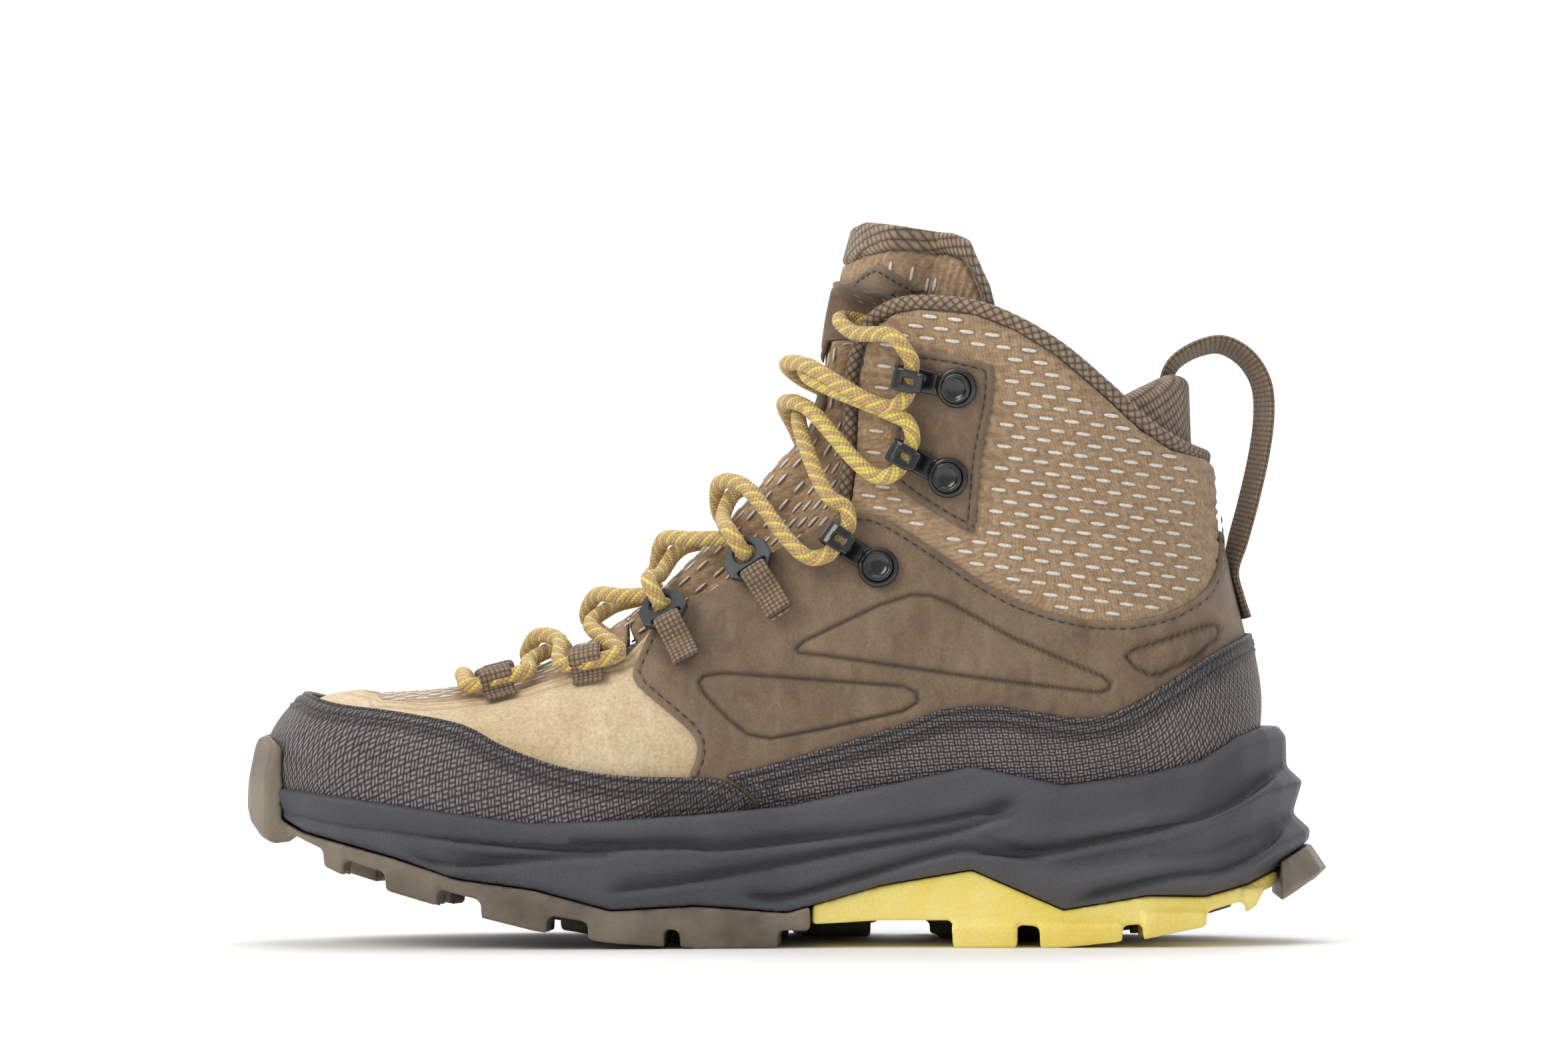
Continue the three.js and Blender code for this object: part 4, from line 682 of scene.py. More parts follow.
def foamFinish():
    # EVA: compression-moulded foam, matte with the mould's fine leather-like grain
    material, tree, shader = newMaterial("mouldedEva", 0.55)
    shader.inputs["IOR"].default_value = 1.48
    grain = addNode(tree, "TexVoronoi", {"feature": "DISTANCE_TO_EDGE"},
                    {"Vector": place(tree, 0.95), "Scale": 1.0}).outputs["Distance"]
    cloudy = addNode(tree, "TexNoise", None, {"Vector": place(tree, 34), "Scale": 1.0, "Detail": 3,
                                              "Roughness": 0.5}, "Fac")
    colour = addNode(tree, "ValToRGB", {"stops": [(0.35, "#45464b"), (0.65, "#515258")]}, {"Fac": cloudy},
                     "Color")
    colour = addNode(tree, "Mix", {"data_type": "RGBA", "blend_type": "MULTIPLY"},
                     {0: 1.0, 6: colour, 7: addNode(tree, "ValToRGB",
                                                    {"stops": [(0.0, 0.84), (0.16, 1.02)]}, {"Fac": grain},
                                                    "Color")}, 2)
    # painted shade in the carved grooves, near black
    tree.links.new(paintCreaseShade(tree, colour, "#1f2023", 0.85), shader.inputs["Base Color"])
    addNode(tree, "Bump", None,
            {"Height": addNode(tree, "ValToRGB", {"stops": [(0.0, 0.0), (0.22, 1.0)]}, {"Fac": grain},
                               "Color"), "Distance": 0.07 * 0.001, "Strength": 0.8}, "Normal",
            shader.inputs["Normal"])
    return material


mouldedEva = foamFinish()


def rubberFinish(name, dark, base, light, glow=0.0):
    # Outsole rubber: moulded, satin, with a fine sparked texture and slight rubbing on the lugs
    material, tree, shader = newMaterial(name, 0.5)
    shader.inputs["IOR"].default_value = 1.52
    shader.inputs["Subsurface Weight"].default_value = glow
    shader.inputs["Subsurface Scale"].default_value = 0.004
    spark = addNode(tree, "TexNoise", None, {"Vector": place(tree, 0.7), "Scale": 1.0, "Detail": 2,
                                             "Roughness": 0.6}, "Fac")
    cloudy = addNode(tree, "TexNoise", None, {"Vector": place(tree, 18), "Scale": 1.0, "Detail": 4,
                                              "Roughness": 0.55}, "Fac")
    colour = addNode(tree, "ValToRGB", {"stops": [(0.32, dark), (0.5, base), (0.7, light)]},
                     {"Fac": cloudy}, "Color")
    colour = addNode(tree, "Mix", {"data_type": "RGBA", "blend_type": "MULTIPLY"},
                     {0: 1.0, 6: colour, 7: addNode(tree, "ValToRGB", {"stops": [(0.3, 0.93), (0.7, 1.05)]},
                                                    {"Fac": spark}, "Color")}, 2)
    tree.links.new(colour, shader.inputs["Base Color"])
    addNode(tree, "Bump", None, {"Height": spark, "Distance": 0.06 * 0.001, "Strength": 0.7}, "Normal",
            shader.inputs["Normal"])
    return material


brownRubber = rubberFinish("carbonBrownRubber", "#5d5245", "#74695a", "#857a69")
# Translucent crepe-coloured rubber: pale yellow that glows a deeper yellow where it is thin or shaded
yellowRubber = rubberFinish("paleYellowRubber", "#f4d95e", "#fae37d", "#fdeb98", 0.35)


def threadFinish(name, base, dark):
    # Bonded polyester thread: twisted, slightly glossy
    material, tree, shader = newMaterial(name, 0.55, Sheen_Weight=0.2)
    twist = addNode(tree, "TexNoise", None, {"Vector": place(tree, 0.6), "Scale": 1.0, "Detail": 2,
                                             "Roughness": 0.6}, "Fac")
    tree.links.new(addNode(tree, "ValToRGB", {"stops": [(0.35, dark), (0.6, base)]}, {"Fac": twist},
                           "Color"), shader.inputs["Base Color"])
    addNode(tree, "Bump", None, {"Height": twist, "Distance": 0.1 * 0.001, "Strength": 0.6}, "Normal",
            shader.inputs["Normal"])
    return material


whiteThread = threadFinish("whiteThread", "#e3dfd6", "#c6bfb2")
darkThread = threadFinish("umberThread", "#3a2d24", "#241b15")
tanThread = threadFinish("tanThread", "#c2ab8b", "#957f62")
blackThread = threadFinish("blackThread", "#2a2627", "#161415")


def laceFinish():
    # Round braid of polyester: strands crossing in diamonds, tan with lime-yellow marker strands
    material, tree, shader = newMaterial("braidedLace", 0.7, Sheen_Weight=0.3)
    uv = addNode(tree, "UVMap", {"uv_map": "cloth"}).outputs["UV"]
    parts = addNode(tree, "SeparateXYZ", inputs={"Vector": uv})
    # the cloth map runs along in millimetres and around from 0 to 1: nine diamonds around, 1.5 mm long each
    lengthwise = addNode(tree, "Math", {"operation": "MULTIPLY"}, {0: parts.outputs["X"], 1: 1 / 1.5}, 0)
    around = addNode(tree, "Math", {"operation": "MULTIPLY"}, {0: parts.outputs["Y"], 1: 9.0}, 0)
    first = addNode(tree, "Math", {"operation": "ADD"}, {0: lengthwise, 1: around}, 0)
    second = addNode(tree, "Math", {"operation": "SUBTRACT"}, {0: lengthwise, 1: around}, 0)
    ridges = [addNode(tree, "Math", {"operation": "ABSOLUTE"},
                      {0: addNode(tree, "Math", {"operation": "SINE"},
                                  {0: addNode(tree, "Math", {"operation": "MULTIPLY"}, {0: v, 1: math.pi},
                                              0)}, 0)}, 0) for v in (first, second)]
    height = addNode(tree, "Math", {"operation": "MULTIPLY"}, {0: ridges[0], 1: ridges[1]}, 0)
    fibre = addNode(tree, "TexNoise", None, {"Vector": place(tree, 0.8), "Scale": 1.0, "Detail": 3,
                                             "Roughness": 0.7}, "Fac")
    # marker strands: a diamond counts when both of its strands carry the lime yarn
    strand = addNode(tree, "Math", {"operation": "FRACT"},
                     {0: addNode(tree, "Math", {"operation": "MULTIPLY"},
                                 {0: addNode(tree, "Math", {"operation": "FLOOR"}, {0: first}, 0),
                                  1: 0.33336}, 0)}, 0)
    dash = addNode(tree, "Math", {"operation": "FRACT"},
                   {0: addNode(tree, "Math", {"operation": "MULTIPLY"},
                               {0: addNode(tree, "Math", {"operation": "FLOOR"}, {0: second}, 0),
                                1: 0.25002}, 0)}, 0)
    marker = addNode(tree, "Math", {"operation": "MULTIPLY"},
                     {0: addNode(tree, "Math", {"operation": "LESS_THAN"}, {0: strand, 1: 0.34}, 0),
                      1: addNode(tree, "Math", {"operation": "LESS_THAN"}, {0: dash, 1: 0.8}, 0)}, 0)
    tan = addNode(tree, "ValToRGB", {"stops": [(0.3, "#b28a50"), (0.5, "#d0a86c"), (0.72, "#e4c98f")]},
                  {"Fac": fibre}, "Color")
    lime = addNode(tree, "ValToRGB", {"stops": [(0.3, "#e0bf45"), (0.6, "#f4e27c")]}, {"Fac": fibre}, "Color")
    colour = addNode(tree, "Mix", {"data_type": "RGBA", "blend_type": "MIX"}, {0: marker, 6: tan, 7: lime}, 2)
    # painted shade in the hollows between the strands
    colour = addNode(tree, "Mix", {"data_type": "RGBA", "blend_type": "MULTIPLY"},
                     {0: 1.0, 6: colour, 7: addNode(tree, "ValToRGB", {"stops": [(0.0, 0.6), (0.35, 1.02)]},
                                                    {"Fac": height}, "Color")}, 2)
    tree.links.new(colour, shader.inputs["Base Color"])
    addNode(tree, "Bump", None, {"Height": height, "Distance": 0.35 * 0.001, "Strength": 1.0}, "Normal",
            shader.inputs["Normal"])
    return material


braidedLace = laceFinish()


def metalFinish():
    # Stove-enamelled brass: black lacquer over stamped metal, glossy, edges barely rubbed
    material, tree, shader = newMaterial("blackEnamel", 0.24, Coat_Weight=0.6, Coat_Roughness=0.12)
    smear = addNode(tree, "TexNoise", None, {"Vector": place(tree, 5), "Scale": 1.0, "Detail": 4,
                                             "Roughness": 0.6}, "Fac")
    tree.links.new(addNode(tree, "ValToRGB", {"stops": [(0.35, "#07090b"), (0.7, "#101518")]},
                           {"Fac": smear}, "Color"), shader.inputs["Base Color"])
    addNode(tree, "Bump", None,
            {"Height": addNode(tree, "TexNoise", None, {"Vector": place(tree, 0.9), "Scale": 1.0,
                                                        "Detail": 2, "Roughness": 0.5}, "Fac"),
             "Distance": 0.02 * 0.001, "Strength": 0.5}, "Normal", shader.inputs["Normal"])
    return material


blackEnamel = metalFinish()


def plasticFinish(name, dark, base, roughness=0.45):
    # Moulded nylon: satin with a slight sparked texture
    material, tree, shader = newMaterial(name, roughness)
    shader.inputs["IOR"].default_value = 1.53
    spark = addNode(tree, "TexNoise", None, {"Vector": place(tree, 0.5), "Scale": 1.0, "Detail": 2,
                                             "Roughness": 0.6}, "Fac")
    tree.links.new(addNode(tree, "ValToRGB", {"stops": [(0.35, dark), (0.65, base)]},
                           {"Fac": addNode(tree, "TexNoise", None,
                                           {"Vector": place(tree, 4), "Scale": 1.0, "Detail": 3,
                                            "Roughness": 0.6}, "Fac")}, "Color"), shader.inputs["Base Color"])
    addNode(tree, "Bump", None, {"Height": spark, "Distance": 0.03 * 0.001, "Strength": 0.6}, "Normal",
            shader.inputs["Normal"])
    return material


ringNylon = plasticFinish("glassFilledNylon", "#23282b", "#31383c")
clearTip = plasticFinish("acetateTip", "#b48d5f", "#cfac7c", 0.25)
boardFelt = leather("lastingBoard", "#5c5044", "#74675a", "#8a7c6c", 1.2, 0.95, 0.2)

# Lace: one cord through the tunnels, rings and hooks; the solid's own points, in metres
laceRoute = [
    (0.03406, 0.01605, 0.04811), (0.0609, 0.01423, 0.05528), (0.08047, 0.01461, 0.06853),
    (0.07091, 0.0178, 0.09933), (0.05553, 0.02076, 0.12358), (0.04313, 0.02198, 0.13779),
    (0.03278, 0.01865, 0.1507), (0.02532, 0.01327, 0.16035), (0.02212, 0.01015, 0.16313),
    (0.018, 0.009, 0.16449), (0.01442, 0.01075, 0.16493), (0.01384, 0.01668, 0.16374),
    (0.01736, 0.02246, 0.16083), (0.02751, 0.03477, 0.15954), (0.03019, 0.03575, 0.15647),
    (0.0323, 0.03603, 0.15279), (0.03153, 0.03534, 0.1483), (0.03077, 0.03466, 0.14382),
    (0.02721, 0.0332, 0.14116), (0.02227, 0.03127, 0.1423), (0.00703, 0.01364, 0.15211),
    (0.00428, -0.0006, 0.15235), (0.00661, -0.01473, 0.14854), (0.02679, -0.03333, 0.13951),
    (0.03132, -0.03501, 0.13703), (0.03251, -0.03548, 0.13254), (0.03044, -0.03504, 0.12845),
    (0.02837, -0.0346, 0.12437), (0.0241, -0.03348, 0.12283), (0.01957, -0.03179, 0.12531),
    (0.00504, -0.01419, 0.14133), (-0.00104, -0.00061, 0.14253), (0.00195, 0.01274, 0.13602),
    (0.01102, 0.031, 0.11779), (0.01536, 0.03259, 0.11494), (0.01598, 0.03379, 0.11047),
    (0.01332, 0.03441, 0.10677), (0.01066, 0.03503, 0.10306), (0.00611, 0.03475, 0.10206),
    (0.00177, 0.03316, 0.10491), (-0.01019, 0.01137, 0.11962), (-0.01472, -0.00068, 0.11818),
    (-0.01711, -0.01179, 0.11236), (-0.01502, -0.03024, 0.10827),
    (-0.01229, -0.02976, 0.10406), (-0.0111, -0.02723, 0.1025), (-0.01091, -0.02413, 0.10257),
    (-0.01283, -0.02092, 0.10593), (-0.02586, -0.01217, 0.10664),
    (-0.03296, -0.00073, 0.10642), (-0.0351, 0.01165, 0.09892), (-0.03655, 0.02939, 0.09556),
    (-0.03425, 0.03024, 0.09115), (-0.03298, 0.0283, 0.08894), (-0.03246, 0.02532, 0.08825),
    (-0.03366, 0.02121, 0.09089), (-0.04314, 0.01074, 0.08986), (-0.04804, -0.00127, 0.08783),
    (-0.05216, -0.01234, 0.08382), (-0.04425, -0.03043, 0.0767), (-0.05901, -0.02805, 0.07385),
    (-0.06025, -0.01332, 0.07998), (-0.06616, -0.00257, 0.081), (-0.06948, 0.00874, 0.07605),
    (-0.06878, 0.01978, 0.07196), (-0.08349, 0.02074, 0.06814), (-0.08543, 0.00837, 0.06994),
    (-0.08618, -0.00425, 0.07082), (-0.08526, -0.0166, 0.06995), (-0.08314, -0.02842, 0.06822),
    (-0.06875, -0.02509, 0.07192), (-0.06855, -0.01385, 0.07416),
    (-0.06425, -0.00256, 0.07671), (-0.05961, 0.00905, 0.07802), (-0.059, 0.02514, 0.07385),
    (-0.04521, 0.03099, 0.07652), (-0.05355, 0.01039, 0.08547), (-0.05069, -0.0013, 0.09171),
    (-0.04397, -0.01205, 0.09163), (-0.03403, -0.01892, 0.09133),
    (-0.03268, -0.02284, 0.08849), (-0.03308, -0.02587, 0.08903),
    (-0.03426, -0.02797, 0.09114), (-0.03658, -0.02743, 0.09559),
    (-0.03373, -0.01114, 0.09724), (-0.02978, -0.00067, 0.10297), (-0.02462, 0.01096, 0.10536),
    (-0.01293, 0.02193, 0.10546), (-0.01101, 0.02529, 0.10226), (-0.01112, 0.02839, 0.1024),
    (-0.01219, 0.03085, 0.10415), (-0.01479, 0.03112, 0.10846), (-0.01851, 0.01198, 0.11395),
    (-0.01818, -0.00072, 0.12136), (-0.01157, -0.01313, 0.12071), (0.00169, -0.03258, 0.10456),
    (0.00601, -0.03426, 0.10172), (0.01053, -0.03478, 0.10278), (0.01315, -0.03442, 0.10654),
    (0.01576, -0.03405, 0.11031), (0.01512, -0.03299, 0.11481), (0.0108, -0.03131, 0.11765),
    (0.00348, -0.01274, 0.13495), (0.00311, -0.00061, 0.14032), (0.00674, 0.01194, 0.14063),
    (0.01957, 0.03059, 0.12531), (0.0241, 0.03228, 0.12283), (0.02837, 0.0334, 0.12437),
    (0.03044, 0.03384, 0.12845), (0.03251, 0.03428, 0.13254), (0.03132, 0.03381, 0.13703),
    (0.02679, 0.03213, 0.13951), (0.00474, 0.0145, 0.1488), (-0.00039, -0.0006, 0.15295),
    (0.00515, -0.01578, 0.15231), (0.02227, -0.03247, 0.1423), (0.02721, -0.0344, 0.14116),
    (0.03077, -0.03586, 0.14382), (0.03153, -0.03654, 0.1483), (0.0323, -0.03723, 0.15279),
    (0.03019, -0.03695, 0.15647), (0.02751, -0.03597, 0.15954), (0.01736, -0.02366, 0.16083),
    (0.01384, -0.01788, 0.16374), (0.01442, -0.01195, 0.16493), (0.018, -0.0102, 0.16449),
    (0.02212, -0.01135, 0.16313), (0.02532, -0.01447, 0.16035), (0.03278, -0.01985, 0.1507),
    (0.04313, -0.02318, 0.13779), (0.05553, -0.02196, 0.12358), (0.07091, -0.019, 0.09933),
    (0.08047, -0.01581, 0.06853), (0.06168, -0.0149, 0.05575), (0.03484, -0.01522, 0.0482),
]
laceSize = {"diameter": 0.0042, "length": 1.598, "sides": 12, "perSpan": 5}


def splineThrough(points, perSpan):
    # centripetal Catmull-Rom through the points
    points = np.asarray(points, float)
    padded = np.concatenate([[2 * points[0] - points[1]], points, [2 * points[-1] - points[-2]]])
    out = []
    for k in range(len(points) - 1):
        p = padded[k:k + 4]
        knots = np.concatenate([[0],
                                np.cumsum(np.maximum(np.linalg.norm(np.diff(p, axis=0), axis=1),
                                                     1e-9) ** 0.5)])
        for f in np.arange(perSpan) / perSpan:
            x = mixed(knots[1], knots[2], f)

            def lean(a, b, i, j):
                return a * (knots[j] - x) / (knots[j] - knots[i]) + b * (x - knots[i]) / (knots[j] - knots[i])

            a1, a2, a3 = (lean(p[i], p[i + 1], i, i + 1) for i in range(3))
            b1, b2 = lean(a1, a2, 0, 2), lean(a2, a3, 1, 3)
            out.append(lean(b1, b2, 1, 2))
    out.append(points[-1])
    return np.array(out)


def tubeAlong(name, path, radius, sides, capped=True, around=1.0):
    # path in metres; the section is carried along without twist
    path = np.asarray(path, float)
    tangent = unit(np.gradient(path, axis=0))
    normal = np.cross(tangent[0], (0, 0, 1))
    normal = unit(normal if np.linalg.norm(normal) > 0.1 else np.cross(tangent[0], (0, 1, 0)))
    length = np.concatenate([[0], np.cumsum(np.linalg.norm(np.diff(path, axis=0), axis=1))])
    points, uvs, faces = [], [], []
    radii = np.broadcast_to(np.asarray(radius, float), (len(path),))
    for k, (p, d) in enumerate(zip(path, tangent)):
        normal = unit(normal - d * np.dot(normal, d))
        other = np.cross(d, normal)
        for j in range(sides + 1):
            a = 2 * math.pi * j / sides
            if j < sides:
                points.append(p + (normal * math.cos(a) + other * math.sin(a)) * radii[k])
        for j in range(sides):
            if k:
                a, b = (k - 1) * sides + j, (k - 1) * sides + (j + 1) % sides
                faces.append([a, b, b + sides, a + sides])
    if capped:
        faces.append(list(reversed(range(sides))))
        faces.append([(len(path) - 1) * sides + j for j in range(sides)])
    obj = newObject(name, points, faces)
    layer = obj.data.uv_layers.new(name="cloth")
    for polygon in obj.data.polygons:
        ring = [obj.data.loops[k].vertex_index % sides for k in polygon.loop_indices]
        wraps = 0 in ring and sides - 1 in ring and len(ring) == 4
        for loop in polygon.loop_indices:
            v = obj.data.loops[loop].vertex_index
            j = v % sides
            layer.data[loop].uv = (length[v // sides] * 1000,
                                   around * (sides if wraps and j == 0 else j) / sides)
    return obj


lacePath = splineThrough(laceRoute, laceSize["perSpan"])
lace = tubeAlong("lace_braid", lacePath, laceSize["diameter"] / 2, laceSize["sides"])
finishPiece(lace, braidedLace, "boot", ["lace"])

for k, (end, before) in enumerate(((0, 1), (-1, -2))):
    start = np.array(laceRoute[end])
    heading = unit(start - np.array(laceRoute[before]))
    reach = np.array([-0.0008, 0.0003, 0.0015, 0.009, 0.0172, 0.018, 0.0183])
    width = np.array([0.00195, 0.00195, 0.0017, 0.00165, 0.0016, 0.0013, 0.0006])
    tip = tubeAlong(f"lace_end_{k + 1}", start + heading * reach[:, None], width, 16)
    finishPiece(tip, clearTip, "boot", [f"lace_tip_{k + 1}"])
print("lace done")


# Stitches: each one a short sunk bead on the skin
def linePoints(line, pitch):
    points = np.array(line, float)
    run = np.concatenate([[0], np.cumsum(np.linalg.norm(np.diff(points, axis=0), axis=1))])
    count = max(int(run[-1] / pitch), 1)
    marks = (np.arange(count) + 0.5) * run[-1] / count
    return np.stack([np.interp(marks, run, points[:, k]) for k in (0, 1)], -1)


def insetLine(line, side, lift, inset):
    # the line moved sideways by a true distance over the skin; positive is to the right of its direction
    fine = linePoints(line, 1.0)
    heading = unit(np.gradient(fine, axis=0))
    out = np.stack([heading[:, 1], -heading[:, 0]], -1)
    u, t = onSkin(fine, side, lift)
    normal = lastNormal(u, t, np.full(u.shape, float(side)))
    facing = out[:, 0] * normal[:, 0] + out[:, 1] * normal[:, 2]
    return fine + out * inset * np.sqrt(np.clip(1 - facing ** 2, 0.08, 1))[:, None]


def beadMesh(spots):
    # spots: (start, end, normal, half width) in the last's millimetres
    ring = [(math.cos(a), math.sin(a)) for a in np.linspace(0, 2 * math.pi, 7)[:-1]]
    sections = [(0.0, 0.35), (0.12, 0.8), (0.35, 1.0), (0.65, 1.0), (0.88, 0.8), (1.0, 0.35)]
    points, faces = [], []
    for a, b, normal, half in spots:
        span = b - a
        length = np.linalg.norm(span)
        if length < 1e-6:
            continue
        heading = span / length
        across = unit(np.cross(heading, normal))
        up = np.cross(across, heading)
        base = len(points)
        for s, share in sections:
            centre = a + span * s - up * half * 0.25 * (1 - share)
            for ca, sa in ring:
                points.append(centre + across * ca * half * share + up * sa * half * share * 0.62)
        for r in range(len(sections) - 1):
            for j in range(6):
                p, q = base + r * 6 + j, base + r * 6 + (j + 1) % 6
                faces.append([p, q, q + 6, p + 6])
        faces.append([base + j for j in reversed(range(6))])
        faces.append([base + (len(sections) - 1) * 6 + j for j in range(6)])
    return points, faces


def stitchSpots(line, side, lift, pitch, length, half, sunk=0.1):
    fine = linePoints(line, pitch)
    heading = unit(np.gradient(fine, axis=0)) if len(fine) > 1 else np.array([[1.0, 0.0]])
    u, t = onSkin(fine, side, lift)
    s = np.full(u.shape, float(side))
    centre = skinPoint(u, t, s, lift - sunk)
    normal = lastNormal(u, t, s)
    u2, t2 = onSkin(fine + heading * 0.5, side, lift)
    way = skinPoint(u2, t2, s, lift - sunk) - centre
    way = unit(way - normal * np.sum(way * normal, -1, keepdims=True))
    return [(c - w * length / 2, c + w * length / 2, n, half) for c, w, n in zip(centre, way, normal)]


def stitchPiece(name, rows, thread, body="boot"):
    spots = [spot for row in rows for spot in row]
    points, faces = beadMesh(spots)
    return finishPiece(newObject(name, toMetres(points), faces), thread, body)


bothSides = (("medial", -1), ("lateral", 1))


# Vamp: stretch window, suede, toe and front rand
windowOutline = [[-112.5, 56], [-44, 60], [-42.4, 78], [-42.4, 100], [-112.5, 80]]
window = skinPanel("vamp_window", windowOutline, sheetLift, "ridge", (3.5, 11.5), (-0.55, 0.55), 1.5)
finishPiece(window, softshell, "boot", ["vamp_mesh"])

suedeOutline = [
    [-131.5, 66], [-126, 70], *vampWindowLine, [-42.5, 75.7], *throatLine[1:3], [-26, 84], [-16, 75],
                [-16, 40],
    *reversed([p for p in tuckLine if -130 < p[0] < -16]), [-132, 46]]
suedeTrim = {"rows": (1.8, 4.2), "pitch": 2.6, "length": 1.8, "half": 0.3}


def suedeTop(u, t, side, x, z, d, mapU, mapW):
    near = lineDistance(vampWindowLine, x, z)
    seams = sum(np.exp(-((d - row) / 0.45) ** 2) for row in suedeTrim["rows"]) * (near < 9)
    # the second value is painted shade along the sunk stitch rows
    return suedeLift[1] - 0.3 * seams, 0.8 * seams


suedePanel = skinPanel("suede_vamp", suedeOutline, suedeLift, "ridge", (0, 12.8), (-0.8, 0.8), 1.3,
                       (0.2, 0.6, 1.3, 1.8, 2.3, 3.7, 4.2, 4.7), suedeTop)
finishPiece(suedePanel, suede, "boot", ["vamp_suede"])
rows = []
for label, side in bothSides:
    for inset in suedeTrim["rows"]:
        line = insetLine(rounded(vampWindowLine), side, suedeLift[1], inset)
        rows.append(stitchSpots(line, side, suedeLift[1] - 0.2, suedeTrim["pitch"], suedeTrim["length"],
                                suedeTrim["half"]))
stitchPiece("suede_stitching", rows, tanThread)

# Front rand: its top edge is turned over and double stitched
lipLine = moved(midsoleTop, 0, -3.2)
frontRandOutline = [[-150, 66], *rounded(frontRandTop), [-8.6, 34.2],
                    *reversed([p for p in lipLine if p[0] < -9]),
                    [-150, 40]]
rearRandOutline = [*rounded(rearRandTop), [139, 84], [139, 55.5],
                   *reversed([p for p in lipLine if -7 < p[0] < 139]),
                   [-7.4, 34.2], [-7.4, 38], [-10.7, 41.3]]
randTrim = {"band": 5.2, "rows": (1.5, 4.0), "pitch": 2.5, "length": 1.7, "half": 0.32, "raise": 0.45}


def randTop(line):
    def top(u, t, side, x, z, d, mapU, mapW):
        away = lineDistance(line, x, z)
        near = 1 - smoothStep(8, 13, away)
        band = 1 - smoothStep(randTrim["band"] - 0.5, randTrim["band"] + 0.3, d)
        seams = sum(np.exp(-((d - row) / 0.5) ** 2) for row in randTrim["rows"]) * near
        fold = np.exp(-((d - randTrim["band"] - 0.2) / 0.45) ** 2) * near
        # the second value darkens the stitch rows and the fold with painted shade, and the turned band
        # slightly
        return (randLift[1] + near * randTrim["raise"] * band - 0.4 * seams - 0.2,
                np.clip(0.9 * seams + 0.8 * fold + 0.3 * band * near, 0, 1))
    return top


randLevels = (0.2, 0.6, 1.2, 1.5, 2.0, 3.4, 4.0, 4.7, 5.5)
frontRand = skinPanel("front_rand_cloth", frontRandOutline, randLift, "ridge", (0, 13.4), (-0.82, 0.82), 1.4,
                      randLevels, randTop(frontRandTop))
finishPiece(frontRand, ballisticNylon, "boot", ["front_rand"])
rearRand = skinPanel("rear_rand_cloth", rearRandOutline, randLift, "heel", (9.4, 21.6), (-0.74, 0.74), 1.4,
                     randLevels, randTop(rearRandTop))
finishPiece(rearRand, ballisticNylon, "boot", ["rear_rand"])
rows = []
for label, side in bothSides:
    for line in (frontRandTop, rearRandTop):
        for inset in randTrim["rows"]:
            trimmed = [p for p in insetLine(rounded(line), side, randLift[1], inset) if p[0] < 116]
            rows.append(stitchSpots(trimmed, side, randLift[1] - 0.25, randTrim["pitch"], randTrim["length"],
                                    randTrim["half"]))
stitchPiece("rand_stitching", rows, blackThread)
print("vamp and rands done")

# Quarters: nubuck with debossed outlines and a double stitched edge
quarterOutline = [*rounded(quarterFrontLine, steps=4), *[p for p in tuckLine if -22 < p[0] < 139],
                  [139, 60], [125, 84],
                  [121, 113.5], *reversed(rounded(quarterTopLine, steps=4)),
                  *list(reversed(throatLine))[1:-1]]
debossed = [
    [[-23.3, 69.5], [-21.9, 71.2], [-16.6, 71.8], [30.2, 68.3], [33.7, 66.6], [33.9, 64.1], [30.2, 61.8],
     [9.4, 57.2],
     [-4.2, 54.7], [-10.4, 55.8], [-15.6, 59.9], [-21.9, 66.6], [-23.3, 69.5]],
    [[2.1, 78], [4.2, 80.1], [23.9, 89.5], [32.3, 92.2], [37.5, 92], [42.7, 89.9], [59.3, 80.7], [82.2, 70.8],
     [84.3, 69.1], [83.9, 67.4], [81.2, 66.6], [51, 70.3], [9.4, 76.4], [3.1, 77], [2.1, 78]],
    [[88.4, 76], [90.5, 77.8], [109.3, 83.9], [112.4, 84.3], [113.8, 83.2], [113, 80.7], [107.2, 76],
     [97.8, 71.4],
     [94.7, 71.2], [90.5, 73.3], [88.4, 76]]]
quarterTrim = {"rows": (1.9,), "pitch": 2.7, "length": 1.9, "half": 0.3, "groove": 0.95, "grooveWidth": 0.62}


def quarterTop(u, t, side, x, z, d, mapU, mapW):
    grooves = sum(np.exp(-(lineDistance(line, x, z) / quarterTrim["grooveWidth"]) ** 2) for line in debossed)
    edges = np.minimum(lineDistance(quarterFrontLine, x, z), lineDistance(quarterTopLine, x, z))
    seams = sum(np.exp(-((edges - row) / 0.5) ** 2) for row in quarterTrim["rows"])
    pressedAndShaded = np.clip(grooves, 0, 1)
    # the crease value: in the debossed grooves partly the nubuck's real burnish, partly painted shade; along
    # the seams painted shade
    crease = np.clip(pressedAndShaded ** 1.5 + 0.35 * seams, 0, 1)
    return quarterLift[1] - quarterTrim["groove"] * pressedAndShaded - 0.25 * seams, crease


quarters = skinPanel("quarter_nubuck", quarterOutline, quarterLift, "heel", (8.2, 24.2), (-0.9, 0.9), 0.62,
                     (0.25, 0.8, 1.4, 1.9, 2.4), quarterTop)
finishPiece(quarters, nubuck, "boot", ["quarter_medial", "quarter_lateral"])
rows = []
for label, side in bothSides:
    for inset in quarterTrim["rows"]:
        for line, way in ((quarterFrontLine, -1), (quarterTopLine, 1)):
            marks = insetLine(rounded(line), side, quarterLift[1], way * inset)
            rows.append(stitchSpots(marks, side, quarterLift[1] - 0.15, quarterTrim["pitch"],
                                    quarterTrim["length"],
                                    quarterTrim["half"]))
stitchPiece("quarter_stitching", rows, darkThread)

# Eyelet patches
patchTrim = {"inset": 2.0, "pitch": 2.6, "length": 1.9, "half": 0.3}


